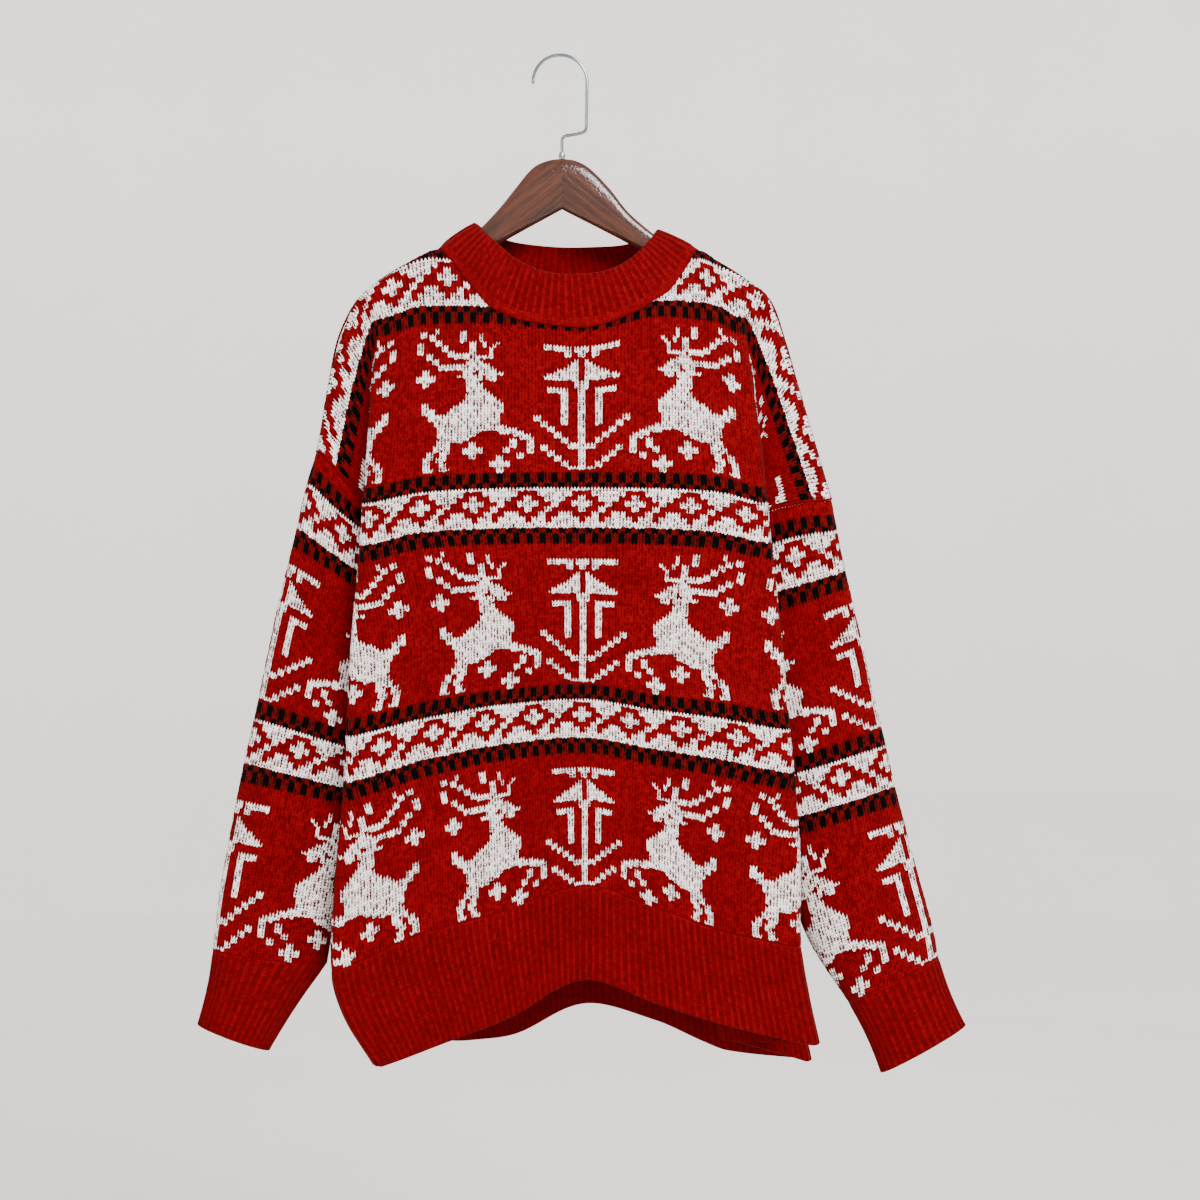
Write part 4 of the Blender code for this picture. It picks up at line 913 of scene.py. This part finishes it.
def neckline_path(face):
    """Points just below a panel's neckline, a little outside it, from left to right."""
    neckline = NECKLINE[face]
    share = np.linspace(0, 1, 160)
    steps = neckline[0, 0] + (neckline[-1, 0] - neckline[0, 0]) * share
    rows = np.interp(steps, *neckline.T) + 1.5 * np.sin(math.pi * share) ** 0.5
    points, normals = surface(face, level_of(rows, steps), steps)
    return points + normals * COLLAR_OUT


def spread(path, count):
    """This many points at equal lengths along a path."""
    lengths = path_lengths(path)
    return straight(lengths, path, np.linspace(0, lengths[-1], count))


front_count = 4 * round(COLLAR_RIBS * COLLAR_FRONT_SHARE)
counts = (front_count, 4 * COLLAR_RIBS - front_count)
paths = (neckline_path(FRONT), neckline_path(BACK)[::-1])
foot = np.concatenate([spread(path, count + 1)[:-1] for path, count in zip(paths, counts)])
closed = np.concatenate([COLLAR_RIM[-2:], COLLAR_RIM, COLLAR_RIM[:3]])
fine = smooth(np.arange(len(closed)) - 2.0, closed,
              np.arange(len(COLLAR_RIM) * RIM_STEPS + 1) / RIM_STEPS)
turn_back = int(np.argmax(COLLAR_RIM[:, 0])) * RIM_STEPS
paths = (fine[:turn_back + 1], fine[turn_back:])
rim = np.concatenate([spread(path, count + 1)[:-1] for path, count in zip(paths, counts)])
up = np.linspace(1, 0, COLLAR_ROWS)[:, None, None]
outer = rim * up + foot * (1 - up)
normals = ring_normals(outer)
outer += normals * COLLAR_BULGE * 4 * up * (1 - up)
inner = outer - normals * COLLAR_THICK
# Rows run from the neckline up, so the rounded edge comes at the rim
gather = np.clip(np.arange(COLLAR_ROWS) - COLLAR_SMOOTH, 0, 1)
collar = rib_piece("mock_neck", outer[::-1], inner[::-1], True, gather)
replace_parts(collar, "collar")

# ---- Linked seams --------------------------------------------------------------------------
# Chains of the red yarn that a linking machine leaves along the armholes and over the shoulders,
# sunk between the edges that they join.
CHAIN_R = 1.1
CHAIN_LOOP = 2.0        # length of a loop


def seam_chain(name, path):
    """A chain of loops along a path, every second one a little smaller."""
    count = int(path_lengths(path)[-1] / CHAIN_LOOP)
    line = spread(path, count)
    run = unit(np.gradient(line, axis=0))
    aside = unit(np.cross(run, np.array([0.0, 0.02, 1.0])))
    upwards = np.cross(aside, run)
    angles = np.linspace(0, 2 * math.pi, 9)[None, :, None]
    radius = CHAIN_R * np.where(np.arange(count) % 2 == 0, 1.0, 0.82)[:, None, None]
    points = line[:, None] + radius * (aside[:, None] * np.cos(angles) + upwards[:, None] * np.sin(angles))
    keep = np.ones((count - 1, 8), bool)
    mesh = knit_mesh(name, points, keep, np.zeros(keep.shape, int))
    close_mesh(mesh, 1e-7, True)
    new_piece(mesh, RIB_YARN)


for side, name in SIDES:
    # The chain round the armhole stops where the one over the shoulder arrives
    seam_chain("armhole_seam_" + name, armhole_edge(side, SLEEVE_NET)[4:-4])
    neck, shoulder_end = SHOULDER[side][[0, -1], 0]
    steps = np.linspace(neck + side * 1.5, shoulder_end, 60)
    x, z = shoulder_line(side, steps).T
    seam_chain("shoulder_seam_" + name, np.stack([x, 0 * x, z - 0.9], axis=1))

# ---- Wooden hanger -------------------------------------------------------------------------
# Two arms sawn from dark walnut, 13 mm thick, long edges rounded over, glued together in the middle
# and dipped in clear lacquer. The shoulders of the sweater rest on them.
HANGER_X = 1.8
ARM_HALF = 6.5          # half the thickness of the wood
ARM_DROP = 4.5          # top of the wood under the outside of the cloth
ARM_SLOPE = 38          # degrees that the grain falls towards the tips
# Bare top edge from the middle, then past the cloth the rounded tip and the edge underneath: x, z
ARM_TOP = {
    LEFT: ((1.65, -91.8), (-11, -93.5), (-24.3, -99.9), (-39.6, -117.9), (-54, -135.9),
           (-69.3, -152.4), (-84, -166), (-103, -181.5)),
    RIGHT: ((1.95, -91.8), (14, -93.5), (26.1, -99.9), (44.1, -117.9), (62.1, -140.4),
            (87.3, -162), (103, -174.5), (119, -183)),
}
ARM_TIP = {LEFT: ((-181, -233), (-178, -240)), RIGHT: ((185.5, -231), (183, -239))}
ARM_UNDER = {
    LEFT: ((1.65, -137.7), (-54, -168.3), (-140, -218), (-170, -239)),
    RIGHT: ((1.95, -137.7), (72.9, -174.6), (146, -219), (175, -239)),
}


def lacquered_walnut(name, angle):
    """Dark walnut under clear lacquer: brown-black streaks of grain 2 to 6 mm wide along the arm, short
    dark pores across the sheen, and the deep wet gloss of a dipped coat, a little wavy."""
    material, tree, shader = blank(name, Roughness=0.5, IOR=1.5, Coat_Weight=0.85, Coat_Roughness=0.08,
                                   Coat_IOR=1.5, Specular_IOR_Level=0.1)
    where = add(tree, "ShaderNodeTexCoord", {})
    turned = add(tree, "ShaderNodeMapping", {"Vector": where.outputs["Object"], "Rotation": (0, angle, 0)})
    grain_at = add(tree, "ShaderNodeMapping", {"Vector": turned, "Scale": (9.0, 160.0, 230.0)})
    grain = add(tree, "ShaderNodeTexNoise", {"Vector": grain_at, "Scale": 1.0, "Detail": 5.0,
                                             "Roughness": 0.6, "Distortion": 0.4})
    pore_at = add(tree, "ShaderNodeMapping", {"Vector": turned, "Scale": (110.0, 1500.0, 1900.0)})
    pores = add(tree, "ShaderNodeTexNoise", {"Vector": pore_at, "Scale": 1.0, "Detail": 2.0})
    streaks = add(tree, "ShaderNodeValToRGB", {"Fac": grain},
                  ramp=[(0.3, linear("#1C0B05")), (0.47, linear("#3E1B0D")), (0.6, linear("#522613")),
                        (0.75, linear("#29110A"))])
    dark = add(tree, "ShaderNodeMapRange", {"Value": pores, "From Min": 0.32, "From Max": 0.44,
                                            "To Min": 0.45, "To Max": 1.0})
    shown = add(tree, "ShaderNodeVectorMath", {0: streaks, "Scale": dark}, operation="SCALE")
    waves = add(tree, "ShaderNodeTexNoise", {"Vector": turned, "Scale": 420.0, "Detail": 2.0,
                                             "Roughness": 0.6})
    bump = add(tree, "ShaderNodeBump", {"Height": waves, "Strength": 0.8, "Distance": 0.4 * MM})
    feed(tree, shader, {"Base Color": shown, "Normal": bump, "Coat Normal": bump})
    return material


def arm_edges(side, count):
    """Top edge and lower edge of one arm, from the joint to the tip."""
    steps = SHOULDER[side][2:4, 0]
    before, here, after = (shoulder_line(side, steps + side * step) for step in (-0.5, 0, 0.5))
    run = unit(after - before)
    rest = here + np.stack([side * run[:, 1], -side * run[:, 0]], axis=1) * ARM_DROP
    edges = []
    for knots in ([*ARM_TOP[side], *rest, ARM_TIP[side][0]], [*ARM_UNDER[side], ARM_TIP[side][1]]):
        knots = np.array(knots)
        knots[0, 0] = HANGER_X - side * 0.01
        edges.append(along(knots, count))
    return edges


def lofted_piece(name, rings, material, sharp):
    """A closed piece from rings of points along it. Edges that turn by more degrees stay sharp."""
    bm = bmesh.new()
    rings = [[bm.verts.new(np.array(point) * MM) for point in ring] for ring in rings]
    for ring, following in zip(rings, rings[1:]):
        for j in range(len(ring)):
            k = (j + 1) % len(ring)
            bm.faces.new((ring[j], ring[k], following[k], following[j]))
    bm.faces.new(rings[0])
    bm.faces.new(rings[-1])
    bmesh.ops.recalc_face_normals(bm, faces=bm.faces)
    mesh = bpy.data.meshes.new(name)
    bm.to_mesh(mesh)
    bm.free()
    mesh.shade_smooth()
    mesh.set_sharp_from_angle(angle=math.radians(sharp))
    return new_piece(mesh, material)


# The faces are planed to a low dome and run round into the edges: share of the arm's width, and depth
across = (1 - np.cos(np.linspace(0, math.pi, 17))) / 2
depth = ARM_HALF * (1 - np.abs(1 - 2 * across) ** 3.2) ** (1 / 2.6)
section = list(zip([*across, *across[-2:0:-1]], [*-depth, *depth[-2:0:-1]]))
for side, name in SIDES:
    rings = [[(x0 + (x1 - x0) * share, y, z0 + (z1 - z0) * share) for share, y in section]
             for (x0, z0), (x1, z1) in zip(*arm_edges(side, 64))]
    walnut = lacquered_walnut("lacquered_walnut_" + name, math.radians(-side * ARM_SLOPE))
    arm = lofted_piece("hanger_arm_" + name, rings, walnut, 60)
    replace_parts(arm, "hanger_" + name)

# ---- Hook and ferrule ----------------------------------------------------------------------
# Bent 3 mm steel wire and the small turned collar it stands in, both polished and chromium plated.
WIRE_R = 1.5
HOOK_R = 24.3           # radius of the loop, in the middle of the wire
WIRE_SIDES = 20
FERRULE_SIDES = 32
HOOK_LEG = ((24.2, -34), (24.0, -48), (23.7, -60))
HOOK_ELBOW = ((18.7, -63.5), 5.0, -4, -82)      # bends: centre, radius, angles of both ends
HOOK_RUN = ((13.5, -70),)
HOOK_FOOT = ((7.1, -76.3), 5.4, 92, 176)
HOOK_STEM = ((HANGER_X, -81), (HANGER_X, -86.2))
# Ferrule from its foot up: radius, height
FERRULE = ((1.6, -91.4), (3.05, -91.4), (3.2, -91.2), (3.2, -90.2), (3.0, -89.95), (3.1, -89.7),
           (3.1, -89.3), (2.85, -87.3), (2.75, -86.7), (2.55, -86.5), (1.6, -86.5))

CHROME, chrome_tree, chrome = blank("chromium_plate", Metallic=1.0)
# Plate is a faint blue-grey mirror, dulled in patches by handling and finely scratched
chrome_where = add(chrome_tree, "ShaderNodeTexCoord", {})
smudges = add(chrome_tree, "ShaderNodeTexNoise", {"Vector": chrome_where.outputs["Object"], "Scale": 140.0,
                                                  "Detail": 3.0})
dull = add(chrome_tree, "ShaderNodeMapRange", {"Value": smudges, "From Min": 0.35, "From Max": 0.7,
                                               "To Min": 0.08, "To Max": 0.2})
tint = add(chrome_tree, "ShaderNodeValToRGB", {"Fac": smudges},
           ramp=[(0.3, linear("#9DA0A5")), (0.7, linear("#7A7D83"))])
feed(chrome_tree, chrome, {"Roughness": dull, "Base Color": tint})


def arc_points(centre, radius, start, end, steps):
    """Points along an arc, angles in degrees."""
    return [(centre[0] + radius * math.cos(a), centre[1] + radius * math.sin(a))
            for a in np.radians(np.linspace(start, end, steps))]


def round_section(radius, sides):
    """Points round a circle: across, and towards the back."""
    return arc_points((0, 0), radius, 0, 360, sides + 1)[:-1]


path = np.array([*arc_points((0, WIRE_R - HOOK_R), HOOK_R, 184, 0, 61), *HOOK_LEG,
                 *arc_points(*HOOK_ELBOW, 10), *HOOK_RUN, *arc_points(*HOOK_FOOT, 10), *HOOK_STEM])
run = unit(np.gradient(path, axis=0))
# The wire's tip is rounded over, in rings that grow to its full radius
tip = [(path[0] + run[0] * WIRE_R * (1 - math.sin(a)), run[0], WIRE_R * max(math.cos(a), 0.05))
       for a in np.radians((90, 68, 45, 22))]
stations = tip + [(place, way, WIRE_R) for place, way in zip(path[1:], run[1:])]
wire = [[(x - way[1] * across, y, z + way[0] * across) for across, y in round_section(radius, WIRE_SIDES)]
        for (x, z), way, radius in stations]
turned = [[(HANGER_X + across, y, z) for across, y in round_section(radius, FERRULE_SIDES)]
          for radius, z in FERRULE]
for name, node, rings in (("hook_wire", "hook", wire), ("turned_ferrule", "ferrule", turned)):
    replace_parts(lofted_piece(name, rings, CHROME, 40), node)

# ---- Floor, light and camera ---------------------------------------------------------------
# A pale round bowl of matt paper far behind and below, which glows as painted light, a large soft light in
# front from the upper left, a weaker one from the right and low light all round; the camera stands in front
# of the chest.
PAPER, paper_tree, paper = blank("pale_paper_painted_glow", Roughness=0.95, Specular_IOR_Level=0.2)
PAPER.cycles.emission_sampling = "NONE"
paper_where = add(paper_tree, "ShaderNodeTexCoord", {})
# Its glow is painted light: strongest on its far side behind the sweater, hardly any on the side of the
# camera, and fainter towards its foot as painted shade
paper_part = add(paper_tree, "ShaderNodeSeparateXYZ", {"Vector": paper_where.outputs["Object"]})
paper_glow = add(paper_tree, "ShaderNodeMapRange", {"Value": paper_part.outputs["Y"], "From Min": -2.0,
                                                    "From Max": 2.5, "To Min": 0.1, "To Max": 0.8})
paper_shade_low = add(paper_tree, "ShaderNodeMapRange", {"Value": paper_part.outputs["Z"], "From Min": -1.5,
                                                      "From Max": 0.8, "To Min": 0.3, "To Max": 1.0})
paper_painted_glow = add(paper_tree, "ShaderNodeMath", {0: paper_glow, 1: paper_shade_low}, operation="MULTIPLY")
paper_grain = add(paper_tree, "ShaderNodeTexNoise", {"Vector": paper_where.outputs["Object"], "Scale": 3.0,
                                                     "Detail": 4.0})
paper_tone = add(paper_tree, "ShaderNodeMapRange", {"Value": paper_grain, "To Min": 0.97, "To Max": 1.03})
paper_colour = add(paper_tree, "ShaderNodeVectorMath", {0: linear("#E6E4E0")[:3], "Scale": paper_tone},
                   operation="SCALE")
feed(paper_tree, paper, {"Emission Strength": paper_painted_glow, "Base Color": paper_colour,
                         "Emission Color": paper_colour})
BOWL_SIDES = 96
# Radius and height of the bowl's rings, in metres
BOWL = ((2.6, -1.5), (3.2, -1.46), (3.7, -1.3), (3.95, -1.0), (4.0, -0.6), (4.0, 2.6))
turns = np.linspace(0, 2 * math.pi, BOWL_SIDES + 1)[:-1]
bowl_points = [(radius * math.cos(a), radius * math.sin(a), z) for radius, z in BOWL for a in turns]
rounds = np.arange(len(BOWL) * BOWL_SIDES).reshape(len(BOWL), BOWL_SIDES)
following = np.roll(rounds, -1, axis=1)
bowl_faces = np.stack([rounds[:-1], following[:-1], following[1:], rounds[1:]], axis=-1).reshape(-1, 4)
bowl_mesh = bpy.data.meshes.new("paper_bowl")
bowl_mesh.from_pydata(bowl_points, [], [*bowl_faces.tolist(), list(range(BOWL_SIDES))])
bowl_mesh.materials.append(PAPER)
put(bowl_mesh)


def soft_light(name, place, aim, size, watts, colour):
    """A square soft light that points from its place to its aim."""
    data = bpy.data.lights.new(name, "AREA")
    data.energy, data.size, data.color = watts, size, linear(colour)[:3]
    lamp = put(data)
    lamp.location = place
    x, y, z = np.array(aim) - np.array(place)
    lamp.rotation_euler = (math.atan2(math.hypot(x, y), -z), 0, math.atan2(-x, y))


soft_light("key", (1.1, -2.3, 1.2), (0.02, 0, -0.45), 1.1, 145, "#FFFFFF")
soft_light("fill", (-1.9, -2.1, -0.1), (0.02, 0, -0.5), 1.6, 24, "#FFFDF8")
soft_light("behind", (0.4, 2.6, 1.2), (0, 0, -0.5), 2.0, 40, "#FFFFFF")
world = bpy.data.worlds.new("studio")
world.use_nodes = True
feed(world.node_tree, world.node_tree.nodes["Background"], {"Color": linear("#F2F4F8"), "Strength": 0.9})
bpy.context.scene.world = world

view = bpy.data.cameras.new("front_view")
view.sensor_width = 36.0
view.lens = 63.33
camera = put(view)
camera.location = (0.036, -1.9, -0.489)
camera.rotation_euler = (math.pi / 2, 0, 0)
bpy.context.scene.camera = camera
